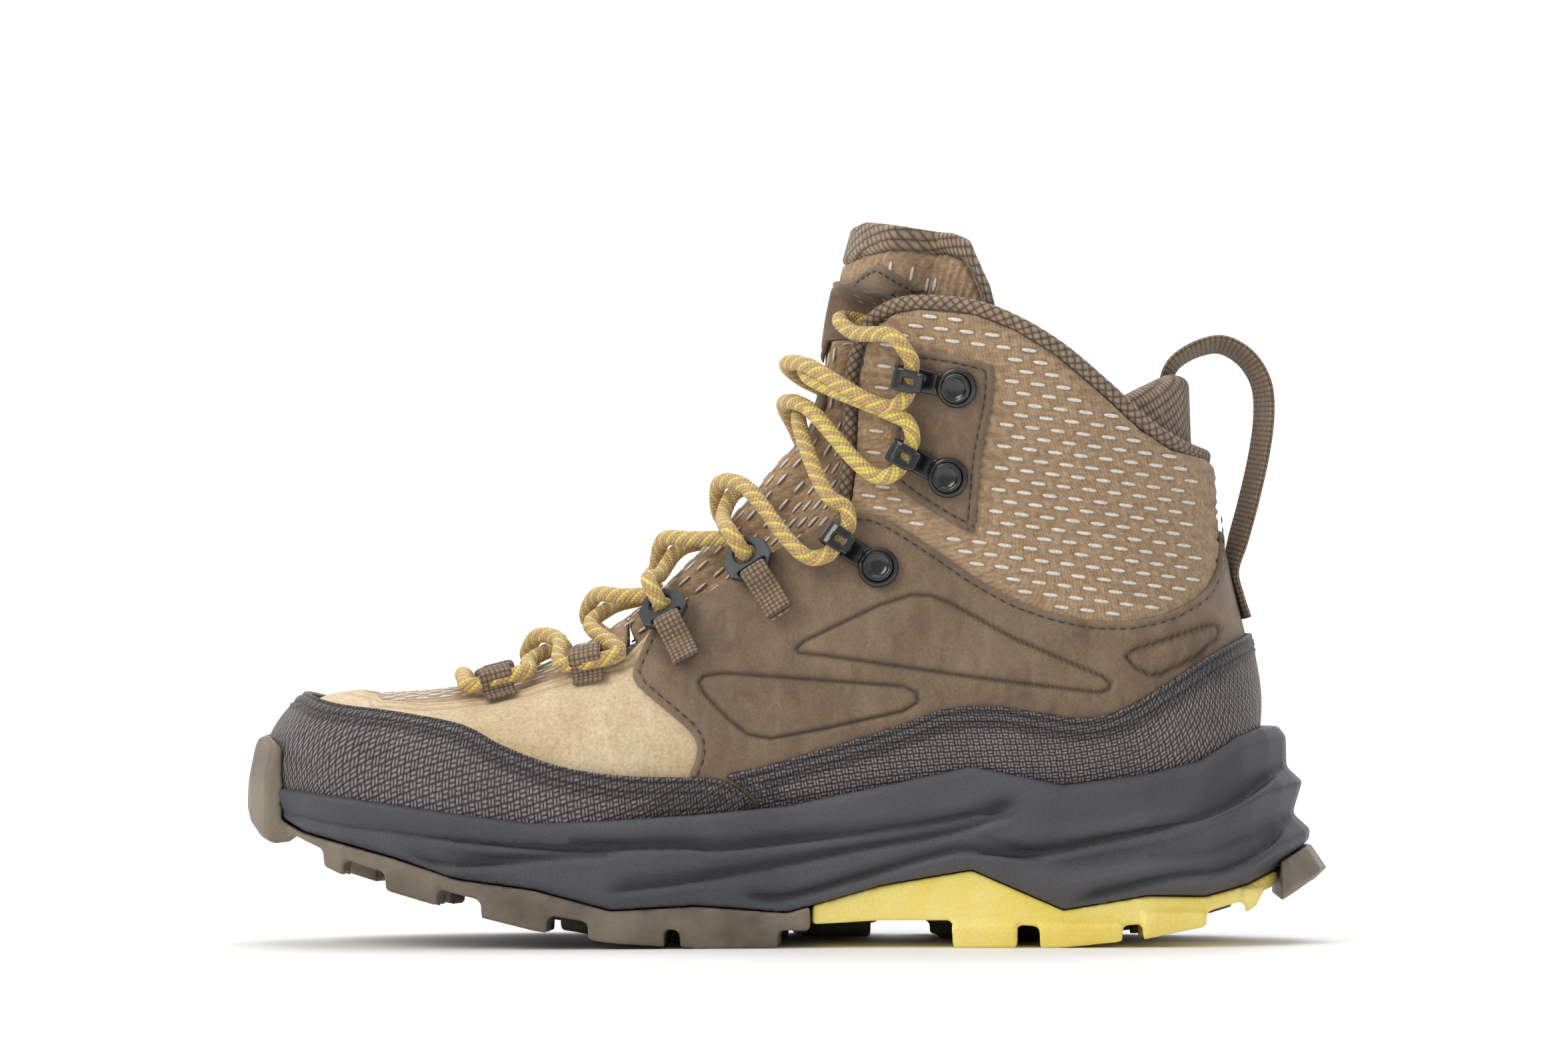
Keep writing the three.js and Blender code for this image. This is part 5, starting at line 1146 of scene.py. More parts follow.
def patchTop(u, t, side, x, z, d, mapU, mapW):
    seam = np.exp(-((d - patchTrim["inset"]) / 0.5) ** 2)
    # the second value is painted shade along the sunk seam
    return quarterLift[1] - 0.28 * seam, 0.4 * seam


patchLine = [p for p in rounded(patchShape, True, 4) if p[1] > along(quarterTopLine, p[0]) + 0.5]
rows = []
for label, side in bothSides:
    patch = skinPanel(f"eyelet_patch_{label}_nubuck", patchLine, quarterLift, "heel", (11, 22.5),
                      (-0.97, -0.3) if side < 0 else (0.3, 0.97), 0.9, (0.25, 0.8, 1.5, 2.0, 2.5), patchTop)
    finishPiece(patch, nubuck, "boot", [f"eyelet_patch_{label}"])
    closed = [*patchLine, patchLine[0]]
    marks = insetLine(closed, side, quarterLift[1], patchTrim["inset"])
    rows.append(stitchSpots(marks, side, quarterLift[1] - 0.18, patchTrim["pitch"], patchTrim["length"],
                            patchTrim["half"]))
stitchPiece("patch_stitching", rows, darkThread)
print("quarters done")

# Ankle shell: softshell over foam, quilted by rows of white stitches
dashes = {"pitch": 6.7, "row": 2.85, "length": 3.9, "half": 0.52, "slant": -7, "pucker": 0.75}
slant = math.radians(dashes["slant"])


def dashGrid(x, z):
    a = x * math.cos(slant) + z * math.sin(slant)
    b = -x * math.sin(slant) + z * math.cos(slant)
    row = np.round(b / dashes["row"])
    offset = (row % 2) * dashes["pitch"] / 2
    cell = np.round((a - offset) / dashes["pitch"])
    return a, b, row, cell, offset


def dashDistance(x, z):
    a, b, row, cell, offset = dashGrid(x, z)
    da = np.maximum(np.abs(a - offset - cell * dashes["pitch"]) - dashes["length"] / 2, 0)
    return np.hypot(da, b - row * dashes["row"])


def shellTop(u, t, side, x, z, d, mapU, mapW):
    pucker = dashes["pucker"] * np.exp(-(dashDistance(x, z) / 0.85) ** 2)
    above = smoothStep(-3, 4, z - along(quarterTopLine, x)) * (x < 122)
    roll = 0.9 * smoothStep(0, 7, d) - 0.5
    # the second value is painted shade at the stitch puckers
    return shellLift[1] + above * (0.35 + roll * 0.7 - pucker), above * (pucker / dashes["pucker"]) * 0.7


shellOutline = [*[[122 if x == 116 else x, z] for x, z in reversed(collarLine)],
                *list(reversed(facingLine))[1:],
                [16.4, 100], *moved([p for p in quarterTopLine if p[0] > 25], 0, -9), [122, 104]]
shell = skinPanel("ankle_shell", shellOutline, shellLift, "heel", (11, 24.6), (-0.99, 0.99), 0.9,
                  (0.3, 0.9, 1.8),
                  shellTop, rollWidth=1.8)
finishPiece(shell, softshell, "boot", ["body_medial", "body_lateral"])


def dashSpots(outline, side, lift):
    xs, zs = np.meshgrid(np.arange(-40, 130, 0.6), np.arange(70, 175, 0.6))
    a, b, row, cell, offset = dashGrid(xs.ravel(), zs.ravel())
    cells = sorted({(int(r), int(c)) for r, c in zip(row, cell)})
    centres = []
    for r, c in cells:
        ca = c * dashes["pitch"] + (r % 2) * dashes["pitch"] / 2
        cb = r * dashes["row"]
        centres.append([ca * math.cos(slant) - cb * math.sin(slant),
                        ca * math.sin(slant) + cb * math.cos(slant)])
    centres = np.array(centres)
    ends = [centres + sign * dashes["length"] / 2 * np.array([math.cos(slant),
                                                              math.sin(slant)]) for sign in (-1, 1)]
    room = np.minimum.reduce([outlineDistance(outline, e[:, 0], e[:, 1]) for e in (*ends, centres)])
    keep = room > 1.3
    ends = [e[keep] for e in ends]
    params = [onSkin(e, side, lift) for e in ends]
    s = np.full(params[0][0].shape, float(side))
    a3, b3 = (skinPoint(u, t, s, lift) for u, t in params)
    normal = unit(lastNormal(*params[0], s) + lastNormal(*params[1], s))
    miss = [np.linalg.norm(p[:, [0, 2]] - e, axis=1) for p, e in zip((a3, b3), ends)]
    good = (miss[0] < 0.5) & (miss[1] < 0.5) & (np.linalg.norm(b3 - a3, axis=1) < 1.6 * dashes["length"])
    return [(p, q, n, dashes["half"]) for p, q, n, g in zip(a3, b3, normal, good) if g]


visibleShell = [*reversed(collarLine), *list(reversed(facingLine))[1:], *quarterTopLine]
rows = []
for label, side in bothSides:
    spots = dashSpots(visibleShell, side, shellLift[1] + 0.22)
    hidden = np.array([0.5 * (a + b) for a, b, n, w in spots])
    under = outlineDistance(patchShape, hidden[:, 0], hidden[:, 2]) > -2.4
    rows.append([spot for spot, skip in zip(spots, under) if not skip])
stitchPiece("shell_quilting", rows, whiteThread)
print("ankle shell done")

# Lining, heel pad and collar binding
openTop = [*moved(throatLine, 1, -1.8), *facingLine[1:], *collarLine[1:], [130, 120], [130, 0], [-150, 0],
           [-150, 80], [-60, 95]]


def padBulge(u, t, side, x, z, d, mapU, mapW):
    return (-4 * smoothStep(15, 17, u) * smoothStep(0.25, 0.38, t) * (1 - smoothStep(0.52, 0.6, t))
            * (1 - smoothStep(18.2, 20.4, u)))


liningPiece = skinPanel("bootie_lining", openTop, liningLift, "heel", (1.0, 25), (-1, 1), 1.8, (0.5, 1.2),
                        None, padBulge,
                        rollWidth=0.8)
finishPiece(liningPiece, liningJersey, "boot", ["inner_bootie"])
padOutline = [
    [79, 140], [85.3, 142.5], [92.6, 146.3], [100.9, 150.2], [105.5, 149.4], [108.6, 145.7], [110, 141],
              [112, 128],
    [112, 118], [86, 122]]
heelPad = skinPanel("heel_pad_knit", padOutline, [-7, -0.3], "heel", (19, 26), (-0.5, 0.5), 0.9,
                    (0.3, 0.8, 1.6, 2.6),
                    rollWidth=3.2, roundBack=True)
finishPiece(heelPad, melangeKnit, "boot", ["heel_pad"])

bindingSize = {"diameter": 4.0, "lift": 2.8, "sides": 20}
edgeLine = [*facingLine[:-1], *collarLine[:-1]]
rims = {}
for label, side in bothSides:
    edge = np.array(edgeLine)
    before = edge[np.maximum(np.arange(len(edge)) - 1, 0)]
    after = edge[np.minimum(np.arange(len(edge)) + 1, len(edge) - 1)]
    out = unit(np.stack([before[:, 1] - after[:, 1], after[:, 0] - before[:, 0]], -1))
    u, t = onSkin(edge + out * (bindingSize["diameter"] / 2 - 0.2), side, bindingSize["lift"])
    rims[label] = skinPoint(u, t, np.full(u.shape, float(side)), bindingSize["lift"])
u, t = onSkin([[112, 128.6]], -1, bindingSize["lift"])
back = skinPoint(u, t, np.array([-1.0]), bindingSize["lift"])
back[:, 1] = 0
bindingPath = splineThrough(np.concatenate([rims["medial"], back, rims["lateral"][::-1]]), 9)
bindingPiece = tubeAlong("collar_binding_knit", toMetres(bindingPath), bindingSize["diameter"] / 2000,
                         bindingSize["sides"],
                         around=math.pi * bindingSize["diameter"])
finishPiece(bindingPiece, melangeKnit, "boot", ["collar_binding"])
print("lining, pad and binding done")


# Tongue: thick over the instep, wings under the facings
def tongueCrown(u):
    return mixed(4, 5.6, smoothStep(9, 13, u)) - 1.6 * smoothStep(13, 14.4, u) * (1 - smoothStep(15, 16.5, u))


def wingLift(u):
    return mixed(-0.9, -6.4, smoothStep(15, 18.5, u))


def crownFoot(u):
    return (0.87 + 0.01 * smoothStep(12.5, 14.5,
                                     u) + 0.06 * smoothStep(18, 19, u) * (1 - smoothStep(20.6, 21.4, u))
            - 0.14 * smoothStep(21.2, 22.6, u))


def tongueLift(u, t):
    foot = crownFoot(u)
    share = np.clip((t - foot) / 0.06, 0, 1)
    return mixed(wingLift(u), tongueCrown(u), share * share * (3 - 2 * share))


def tongueInner(u, t):
    return tongueLift(u, t) - 1 - mixed(2.6, 4.6, smoothStep(0.8, 0.92, t)) * smoothStep(8, 10.5, u)


tongueDash = {"pitch": 6.2, "row": 2.7, "length": 3.8, "half": 0.5}


def tongueRows(mapU, mapW):
    row = np.round(mapW / tongueDash["row"])
    offset = (row % 2) * tongueDash["pitch"] / 2
    cell = np.round((mapU - offset) / tongueDash["pitch"])
    da = np.maximum(np.abs(mapU - offset - cell * tongueDash["pitch"]) - tongueDash["length"] / 2, 0)
    return np.hypot(da, mapW - row * tongueDash["row"])


def tongueTop(u, t, side, x, z, d, mapU, mapW):
    ribs = 0.16 * np.cos(2 * math.pi * mapW / tongueDash["row"])
    folds = 0.8 * np.sin(mapU / 5.1) * np.exp(-((mapU - 118) / 26) ** 2) * smoothStep(0.86, 0.95, t)
    pucker = np.exp(-(tongueRows(mapU, mapW) / 0.9) ** 2)
    # the second value is painted shade at the stitch puckers
    return tongueLift(u, t) - 0.25 - 0.4 * pucker - ribs + 0.35 * folds, 0.6 * pucker


tongueOutline = [
    [-41.6, 60], [-20, 60], [-8, 84], [10, 100], [30, 122], [44, 140], [48.5, 155], [49.5, 166.5],
    [47.9, 171.7], [44.7, 177.9], [42, 180.6], [37, 182.6], [29, 182.6], [22.9, 181.4], [17.8, 178.4],
                 [12, 176],
    [0, 176], [-60, 130], [-41.6, 100]]
tongue = skinPanel("tongue_softshell", tongueOutline, [0, 3], "ridge", (8.6, 25.4), (-0.6, 0.6), 0.85,
                   (0.4, 1.2, 2.2),
                   tongueTop, lambda u, t, side, x, z, d, mapU, mapW: tongueInner(u, t), rollWidth=2.0)
finishPiece(tongue, softshell, "tongue", ["tongue_pad"])


def ridgeDashes(uSpan, reach, lift, outline, size, side):
    # rows of stitches that run lengthwise, counted out from the ridge
    us = np.arange(uSpan[0], uSpan[1], 0.02)
    fineT = np.linspace(1, 0.45, 221)
    grid = lastPoint(us[:, None] + 0 * fineT, fineT + 0 * us[:, None], np.full((len(us), 221), float(side)))
    arcs = np.concatenate([np.zeros((len(us), 1)), np.cumsum(np.linalg.norm(np.diff(grid, axis=1), axis=-1),
                                                             1)], 1)
    spots = []
    for row in range(0 if side < 0 else 1, int(reach / size["row"]) + 1):
        t = np.array([np.interp(row * size["row"], arc, fineT) for arc in arcs])
        s = np.full(us.shape, float(side))
        path = skinPoint(us, t, s, lift(us, t))
        normal = lastNormal(us, t, s)
        run = np.concatenate([[0], np.cumsum(np.linalg.norm(np.diff(path, axis=0), axis=1))])
        marks = np.arange((row % 2) * size["pitch"] / 2 + 1, run[-1] - size["length"], size["pitch"])
        for mark in marks:
            a, b, n = (np.array([np.interp(m, run, v[:, k]) for k in range(3)])
                       for m, v in ((mark, path), (mark + size["length"], path), (mark + 1.9, normal)))
            inside = outlineDistance(outline, np.array([a[0], b[0]]), np.array([a[2], b[2]]))
            if inside.min() > 1.0:
                spots.append((a, b, unit(n), size["half"]))
    return spots


tongueShow = [[-41, 70], [-20, 80], [10, 90], [40, 130], [50, 150], [46.5, 166.5], [43, 176], [37, 181.5],
              [30, 182.5],
              [24, 180.6], [18.5, 177.6], [10, 174], [-60, 140], [-60, 80]]
rows = [ridgeDashes((8.8, 25.5), 34, lambda u, t: tongueLift(u, t) - 0.2, tongueShow, tongueDash, side)
        for label, side in bothSides]
stitchPiece("tongue_quilting", rows, whiteThread, "tongue")
windowShow = [[-109, 60], [-46, 68], [-46, 90], [-109, 75]]
rows = [ridgeDashes((3.6, 9.2), 17, lambda u, t: sheetLift[1] + 0.1 + 0 * u, windowShow, tongueDash, side)
        for label, side in bothSides]
stitchPiece("window_quilting", rows, whiteThread)
patchOutline = rounded([
    [-2, 141], [8.2, 141], [9.2, 150], [11.6, 160], [16.4, 169.2], [29.6, 172], [28.4, 173.8], [26, 177.6],
    [23.9, 178.6], [20.8, 177], [16.6, 174.4], [5, 173]], True, 3)
tonguePatch = skinPanel("tongue_patch_nubuck", patchOutline, [5, 6.5], "ridge", (15, 25), (-0.4, 0.4), 0.9,
                        (0.3, 0.9, 1.7, 2.3),
                        lambda u, t, side, x, z, d, mapU, mapW: tongueLift(u, t) + 1.5
                        - 0.3 * np.exp(-((d - 1.7) / 0.5) ** 2),
                        lambda u, t, side, x, z, d, mapU, mapW: tongueLift(u, t) + 0.35)
finishPiece(tonguePatch, nubuck, "tongue", ["tongue_patch"])
rows = []
patchSeam = rounded([[31, 168.6], [27.4, 172.6], [24.6, 176.2], [22.9, 176.8], [20.4, 175.4], [17, 173]],
                    steps=6)
for label, side in bothSides:
    u, t = onSkin(patchSeam, side, 6.5)
    s = np.full(u.shape, float(side))
    path, normal = skinPoint(u, t, s, tongueLift(u, t) + 1.4), lastNormal(u, t, s)
    run = np.concatenate([[0], np.cumsum(np.linalg.norm(np.diff(path, axis=0), axis=1))])
    spots = []
    for mark in np.arange(0.4, run[-1] - 1.5, 2.2):
        a, b, n = (np.array([np.interp(m, run, v[:, k]) for k in range(3)])
                   for m, v in ((mark, path), (mark + 1.4, path), (mark + 0.7, normal)))
        spots.append((a, b, unit(n), 0.3))
    rows.append(spots)
stitchPiece("patch_seam_stitching", rows, darkThread, "tongue")
edgeOutline = [
    [10, 175.4], [16.6, 177.4], [21.9, 180.6], [28.1, 182.2], [36.4, 182.4], [41.6, 180.6], [45.2, 178],
               [48.4, 171.9],
    [50, 166.5], [49, 155], [48, 150], [50.4, 150], [52.4, 158], [53, 166.5], [51, 173], [47.4, 179.4],
               [44, 185.4],
    [38.5, 187.6], [30.2, 188.8], [22.9, 190], [18, 187.5], [15, 183.5], [10, 181.5]]
tongueEdge = skinPanel("tongue_edge_knit", edgeOutline, [0, 5], "ridge", (19, 26), (-0.75, 0.75), 0.8,
                       (0.3, 0.8, 1.5),
                       lambda u, t, side, x, z, d, mapU, mapW: tongueLift(u, t) + 0.6,
                       lambda u, t, side, x, z, d, mapU, mapW: tongueInner(u, t) - 0.5, rollWidth=1.9,
                       roundBack=True)
finishPiece(tongueEdge, melangeKnit, "tongue", ["tongue_binding"])
print("tongue done")


# Sole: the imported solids' own shapes, with the mould's rounded edges
def mouldedCopy(node, name, voxel, smoothing, material, body="boot"):
    source = bpy.data.objects[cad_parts[node].name]
    mesh = source.data.copy()
    obj = bpy.data.objects.new(name, mesh)
    bpy.context.scene.collection.objects.link(obj)
    remesh = obj.modifiers.new("even", "REMESH")
    remesh.mode = "VOXEL"
    remesh.voxel_size = voxel * 0.001
    remesh.use_smooth_shade = True
    ease = obj.modifiers.new("ease", "SMOOTH")
    ease.factor = 0.5
    ease.iterations = smoothing
    graph = bpy.context.evaluated_depsgraph_get()
    baked = bpy.data.meshes.new_from_object(obj.evaluated_get(graph))
    obj.modifiers.clear()
    obj.data = baked
    baked.name = name
    return finishPiece(obj, material, body, [node])


def vertexArrays(mesh):
    co = np.zeros(len(mesh.vertices) * 3)
    mesh.vertices.foreach_get("co", co)
    normal = np.zeros(len(mesh.vertices) * 3)
    mesh.vertex_normals.foreach_get("vector", normal)
    return co.reshape(-1, 3), normal.reshape(-1, 3)


midsole = mouldedCopy("midsole", "midsole_eva", 0.7, 4, mouldedEva)
grooves = [
    ([[-134.5, 36.6], [-113.3, 32.4], [-85.8, 28.7], [-56.6, 26.5], [-29, 26.8], [-16.8, 26.2], [7.4, 28.7],
      [22.7, 30.4],
      [42.1, 33.3], [61.2, 37.8]], 0.9),
    ([[-99.8, 25.7], [-91.9, 22], [-82.8, 22.3], [-58.4, 23.9], [-41.2, 24.7]], 0.8),
    ([[-48.6, 14.9], [-29, 17.3], [-4.7, 21.1], [19.6, 25.9], [42.1, 29.9], [61.9, 36.1]], 0.8),
    ([[-13.8, 14.3], [-1.6, 12.6], [19.6, 18.1], [42.1, 25], [52.4, 25], [64.8, 24.3], [79.8, 27.1],
      [93.6, 29.9],
      [104.1, 32.6], [117.8, 38.1], [131.4, 46.7]], 1.0),
    ([[73, 11.3], [86.7, 14.7], [100.5, 18.1], [114.3, 20.2], [124.6, 25], [133.4, 33.4]], 0.8)]
co, normal = vertexArrays(midsole.data)
local = co * 1000 - shift
wall = smoothStep(0.25, 0.6,
                  np.hypot(normal[:, 0], normal[:, 1])) * (np.hypot(local[:, 0] * 0, local[:, 1]) > 8)
carve = np.zeros(len(co))
for line, depth in grooves:
    eased = rounded(line, steps=4)
    fadeEnds = smoothStep(eased[0][0] - 1, eased[0][0] + 8, local[:, 0])
    fadeEnds = fadeEnds * (1 - smoothStep(eased[-1][0] - 8, eased[-1][0] + 1, local[:, 0]))
    away = lineDistance(eased, local[:, 0], local[:, 2])
    below = local[:, 2] < along(eased, local[:, 0])
    carve += fadeEnds * depth * (1.5 * np.exp(-(away / np.where(below, 0.55, 2.6)) ** 2)
                                 - 0.5 * np.exp(-((away - 2) / 1.1) ** 2) * below)
moveIn = normal * (carve * wall)[:, None] * 0.001
midsole.data.vertices.foreach_set("co", (co - moveIn).ravel())
# painted shade: the carve depth also darkens the foam in the grooves
creaseShadeLayer = midsole.data.attributes.new("crease", "FLOAT", "POINT")
creaseShadeLayer.data.foreach_set("value", np.clip(carve * wall * 0.9, 0, 1).astype(np.float32))
midsole.data.update()
# The cup's thin rim over the toe and round the front half, below the edge of the rand
rimOutline = [*[p for p in midsoleTop if p[0] < -40], [-40, 28], [-63, 24], [-84, 26.5], [-113, 31],
              [-139, 34]]
rim = skinPanel("midsole_rim", rimOutline, [6.5, 10.6], "ridge", (0, 9.5), (-0.85, 0.85), 1.2,
                (0.5, 1.2, 2.0),
                None, rollWidth=1.2)
finishPiece(rim, mouldedEva, "boot", ["midsole"])

mouldedCopy("outsole_forefoot", "forefoot_rubber", 0.75, 3, brownRubber)
mouldedCopy("outsole_heel", "heel_rubber", 0.75, 3, brownRubber)
mouldedCopy("outsole_insert", "insert_rubber", 0.75, 3, yellowRubber)
print("sole done")


# Skin frames for the hooks, rings and tunnels
def skinFrame(at, to, side, lift):
    u, t = onSkin([at, to], side, lift)
    s = np.full(2, float(side))
    p = skinPoint(u, t, s, lift)
    normal = lastNormal(u[:1], t[:1], s[:1])[0]
    aim = p[1] - p[0]
    x = unit(aim - normal * np.dot(aim, normal))
    return np.stack([x, np.cross(normal, x), normal], 1), p[0]


def placed(seatFrame, points):
    turn, origin = seatFrame
    return toMetres(np.asarray(points, float) @ turn.T + origin)


def prismParts(outline, width, bevel=0.25):
    # outline in local x and z, drawn along y, its rims eased by `bevel`
    outline = np.asarray(outline, float)
    centre = outline.mean(0)
    sections = [(-width / 2, bevel), (-width / 2 + bevel, 0), (width / 2 - bevel, 0), (width / 2, bevel)]
    points, faces = [], []
    n = len(outline)
    edge = unit(np.roll(outline, -1, 0) - np.roll(outline, 1, 0))
    following = np.roll(outline, -1, 0)
    area = 0.5 * np.sum(outline[:, 0] * following[:, 1] - following[:, 0] * outline[:, 1])
    inward = np.stack([-edge[:, 1], edge[:, 0]], -1) * np.sign(area)
    for y, inset in sections:
        for (x, z), (ix, iz) in zip(outline, inward):
            points.append((x + ix * inset, y, z + iz * inset))
    for r in range(len(sections) - 1):
        for k in range(n):
            faces.append([r * n + k, r * n + (k + 1) % n, (r + 1) * n + (k + 1) % n, (r + 1) * n + k])
    faces.append(list(reversed(range(n))))
    faces.append([(len(sections) - 1) * n + k for k in range(n)])
    return points, faces


def bandOutline(centre, thickness):
    # closed outline of a strip that follows a line in local x and z
    centre = np.asarray(centre, float)
    heading = unit(np.gradient(centre, axis=0))
    side = np.stack([-heading[:, 1], heading[:, 0]], -1) * thickness / 2
    return np.concatenate([centre + side, (centre - side)[::-1]])


def strapPiece(name, seatFrame, centre, thickness, width, material, body="boot", replaced=(),
               sections=9,
               rolls=None):
    # woven strap: a strip along its centre line with rounded selvedges, mapped for the weave
    centre = np.asarray(centre, float)
    heading = unit(np.gradient(centre, axis=0))
    lift = np.stack([-heading[:, 1], heading[:, 0]], -1)
    run = np.concatenate([[0], np.cumsum(np.linalg.norm(np.diff(centre, axis=0), axis=1))])
    half = width / 2
    across = np.concatenate([np.linspace(-half, half, sections), np.linspace(half, -half, sections)])
    upper = np.concatenate([np.ones(sections), -np.ones(sections)])
    ease = np.sqrt(np.clip(1 - (np.clip(np.abs(across) - (half - thickness / 2), 0,
                                        None) / (thickness / 2)) ** 2, 0, 1))
    points, uvs, faces = [], [], []
    n = len(across)
    for k in range(len(centre)):
        for y, sign, e in zip(across, upper, ease):
            rise, roll = sign * thickness / 2 * max(e, 0.02), 0 if rolls is None else rolls[k]
            turnCos, turnSin = math.cos(roll), math.sin(roll)
            rise, reach = rise * turnCos - y * turnSin, rise * turnSin + y * turnCos
            offset = lift[k] * rise
            points.append((centre[k, 0] + offset[0], reach, centre[k, 1] + offset[1]))
            uvs.append((run[k], y + (0 if sign > 0 else 0.4)))
    for k in range(len(centre) - 1):
        for j in range(n):
            a, b = k * n + j, k * n + (j + 1) % n
            faces.append([a, b, b + n, a + n])
    faces.append(list(reversed(range(n))))
    faces.append([(len(centre) - 1) * n + j for j in range(n)])
    where = toMetres(points) if seatFrame is None else placed(seatFrame, points)
    obj = newObject(name, where, faces, uvs)
    work = bmesh.new()
    work.from_mesh(obj.data)
    bmesh.ops.recalc_face_normals(work, faces=work.faces)
    work.to_mesh(obj.data)
    work.free()
    return finishPiece(obj, material, body, replaced)


def turnedParts(profile, segments):
    # profile rows (radius, z), closed where the radius is zero
    points, faces = [], []
    for r, z in profile:
        for k in range(segments):
            a = 2 * math.pi * k / segments
            points.append((r * math.cos(a), r * math.sin(a), z))
    for row in range(len(profile) - 1):
        for k in range(segments):
            a, b = row * segments + k, row * segments + (k + 1) % segments
            faces.append([a, b, b + segments, a + segments])
    return points, faces


def joinedPiece(name, parts, seatFrame, voxel, smoothing):
    # parts fused into one casting, with eased edges
    points, faces = [], []
    for some, more in parts:
        base = len(points)
        points += list(some)
        faces += [[k + base for k in face] for face in more]
    obj = newObject(name, placed(seatFrame, points), faces)
    work = bmesh.new()
    work.from_mesh(obj.data)
    bmesh.ops.remove_doubles(work, verts=work.verts, dist=1e-7)
    bmesh.ops.recalc_face_normals(work, faces=work.faces)
    work.to_mesh(obj.data)
    work.free()
    remesh = obj.modifiers.new("even", "REMESH")
    remesh.mode = "VOXEL"
    remesh.voxel_size = voxel * 0.001
    remesh.use_smooth_shade = True
    ease = obj.modifiers.new("ease", "SMOOTH")
    ease.factor = 0.5
    ease.iterations = smoothing
    graph = bpy.context.evaluated_depsgraph_get()
    baked = bpy.data.meshes.new_from_object(obj.evaluated_get(graph))
    obj.modifiers.clear()
    obj.data = baked
    return obj


# Hooks: stamped ring plate and folded lip
hook = {"ring": 10.7, "length": 22.3, "lip": 6.2, "channel": 5.1, "plate": 1.2}
foldX = hook["length"] - hook["ring"] / 2
outerBend = hook["channel"] / 2 + hook["plate"]
strip = [[1.8, 0.6], [6, 0.6], [9, 0.6]]
for a in np.linspace(-90, 90, 15):
    bend = math.radians(a)
    strip.append([foldX - outerBend + (outerBend - 0.6) * math.cos(bend),
                  outerBend + (outerBend - 0.6) * math.sin(bend)])
strip += [[foldX - 3.4, 2 * outerBend - 0.6]]
lipEnd = [[foldX - 7.0, 2 * outerBend - 0.4], [foldX - 9.2, 2 * outerBend - 0.1]]
prong = [[foldX - 3.2, 2 * outerBend - 0.6], [foldX - 7.2, 2 * outerBend - 0.4]]
ringProfile = [
    [2.75, 0.05], [5.2, 0.05], [5.35, 0.35], [5.35, 1.3], [5.1, 1.75], [4.6, 2.0], [4.1, 1.95], [3.6, 1.5],
               [3.1, 1.3],
    [2.75, 1.2], [2.75, 0.05]]
rivetProfile = [
    [0.0, -9.0], [1.85, -9.0], [1.85, 1.45], [3.5, 1.5], [3.95, 1.8], [4.0, 2.2], [3.85, 2.75], [3.5, 3.0],
                [3.1, 2.95],
    [2.8, 2.6], [2.3, 2.3], [1.4, 2.15], [0.0, 2.1]]
hookPlaces = [([23.8, 99.1], [9.9, 108.3]), ([42.1, 122.7], [26.9, 131]), ([44.4, 146.2], [27.7, 150.1])]
number = 0
hookFrames = {}
for label, side in bothSides:
    for at, to in hookPlaces:
        number += 1
        seat = skinFrame(at, to, side, quarterLift[1] + 0.3)
        hookFrames[number] = seat
        outline = bandOutline(strip, hook["plate"])
        parts = [prismParts(outline, hook["lip"], 0.3), prismParts(bandOutline(lipEnd, hook["plate"]), 5.4,
                                                                   0.5)]
        for y in (-1.95, 1.95):
            leg, faces = prismParts(bandOutline(prong, hook["plate"]), 2.3, 0.2)
            parts.append(([(a, b + y, c) for a, b, c in leg], faces))
        parts.append(turnedParts(ringProfile, 56))
        casting = joinedPiece(f"hook_{number}_stamping", parts, seat, 0.24, 3)
        finishPiece(casting, blackEnamel, "boot", [f"hook_{number}"])
        rivet = newObject(f"hook_rivet_{number}_head", placed(seat, turnedParts(rivetProfile, 40)[0]),
                          turnedParts(rivetProfile, 40)[1])
        finishPiece(rivet, blackEnamel, "boot", [f"hook_rivet_{number}"])
print("hooks done")

# Rings, their straps and the webbing tunnels
for k in range(1, 5):
    mouldedCopy(f"lace_ring_{k}", f"ring_{k}_moulding", 0.25, 3, ringNylon, f"ring_{k}")
ringPlaces = [([-32.6, 88.2], [-29.2, 81.2]), ([-10.4, 101.4], [-6.6, 95])]
ringHeight = quarterLift[1] + 4.3
strapCentre = [
    [17.5, -3.05], [14, -2.95], [10.6, -2.75], [8.6, -2.5], [7.2, -2.15], [5.8, -1.75], [4.4, -1.7],
               [3.4, -1.25], [2.95, -0.4],
    [3.0, 0.6], [3.6, 1.45], [4.8, 1.72], [6.0, 1.65], [7.2, 1.0], [8.2, 0.0], [9.2, -1.2], [10.6, -1.95],
               [14, -2.15],
    [17.5, -2.3]]
tunnelPlaces = [[-76.4, 66.9], [-51.8, 72.6]]
tunnel = {"half": 2.65, "top": 5.8, "width": 8.7}
tunnelCentre = [
    [-6.4, 0.55], [-5.2, 0.6], [-4.0, 0.85], [-3.3, 1.6], [-3.1, 3.2], [-2.9, 4.9], [-2.0, 6.0],
                [-0.8, 6.25], [0.8, 6.25],
    [2.0, 6.0], [2.9, 4.9], [3.1, 3.2], [3.3, 1.6], [4.0, 0.85], [5.2, 0.6], [6.4, 0.55]]
ringNumber = 0
tunnelNumber = 0
rows = []
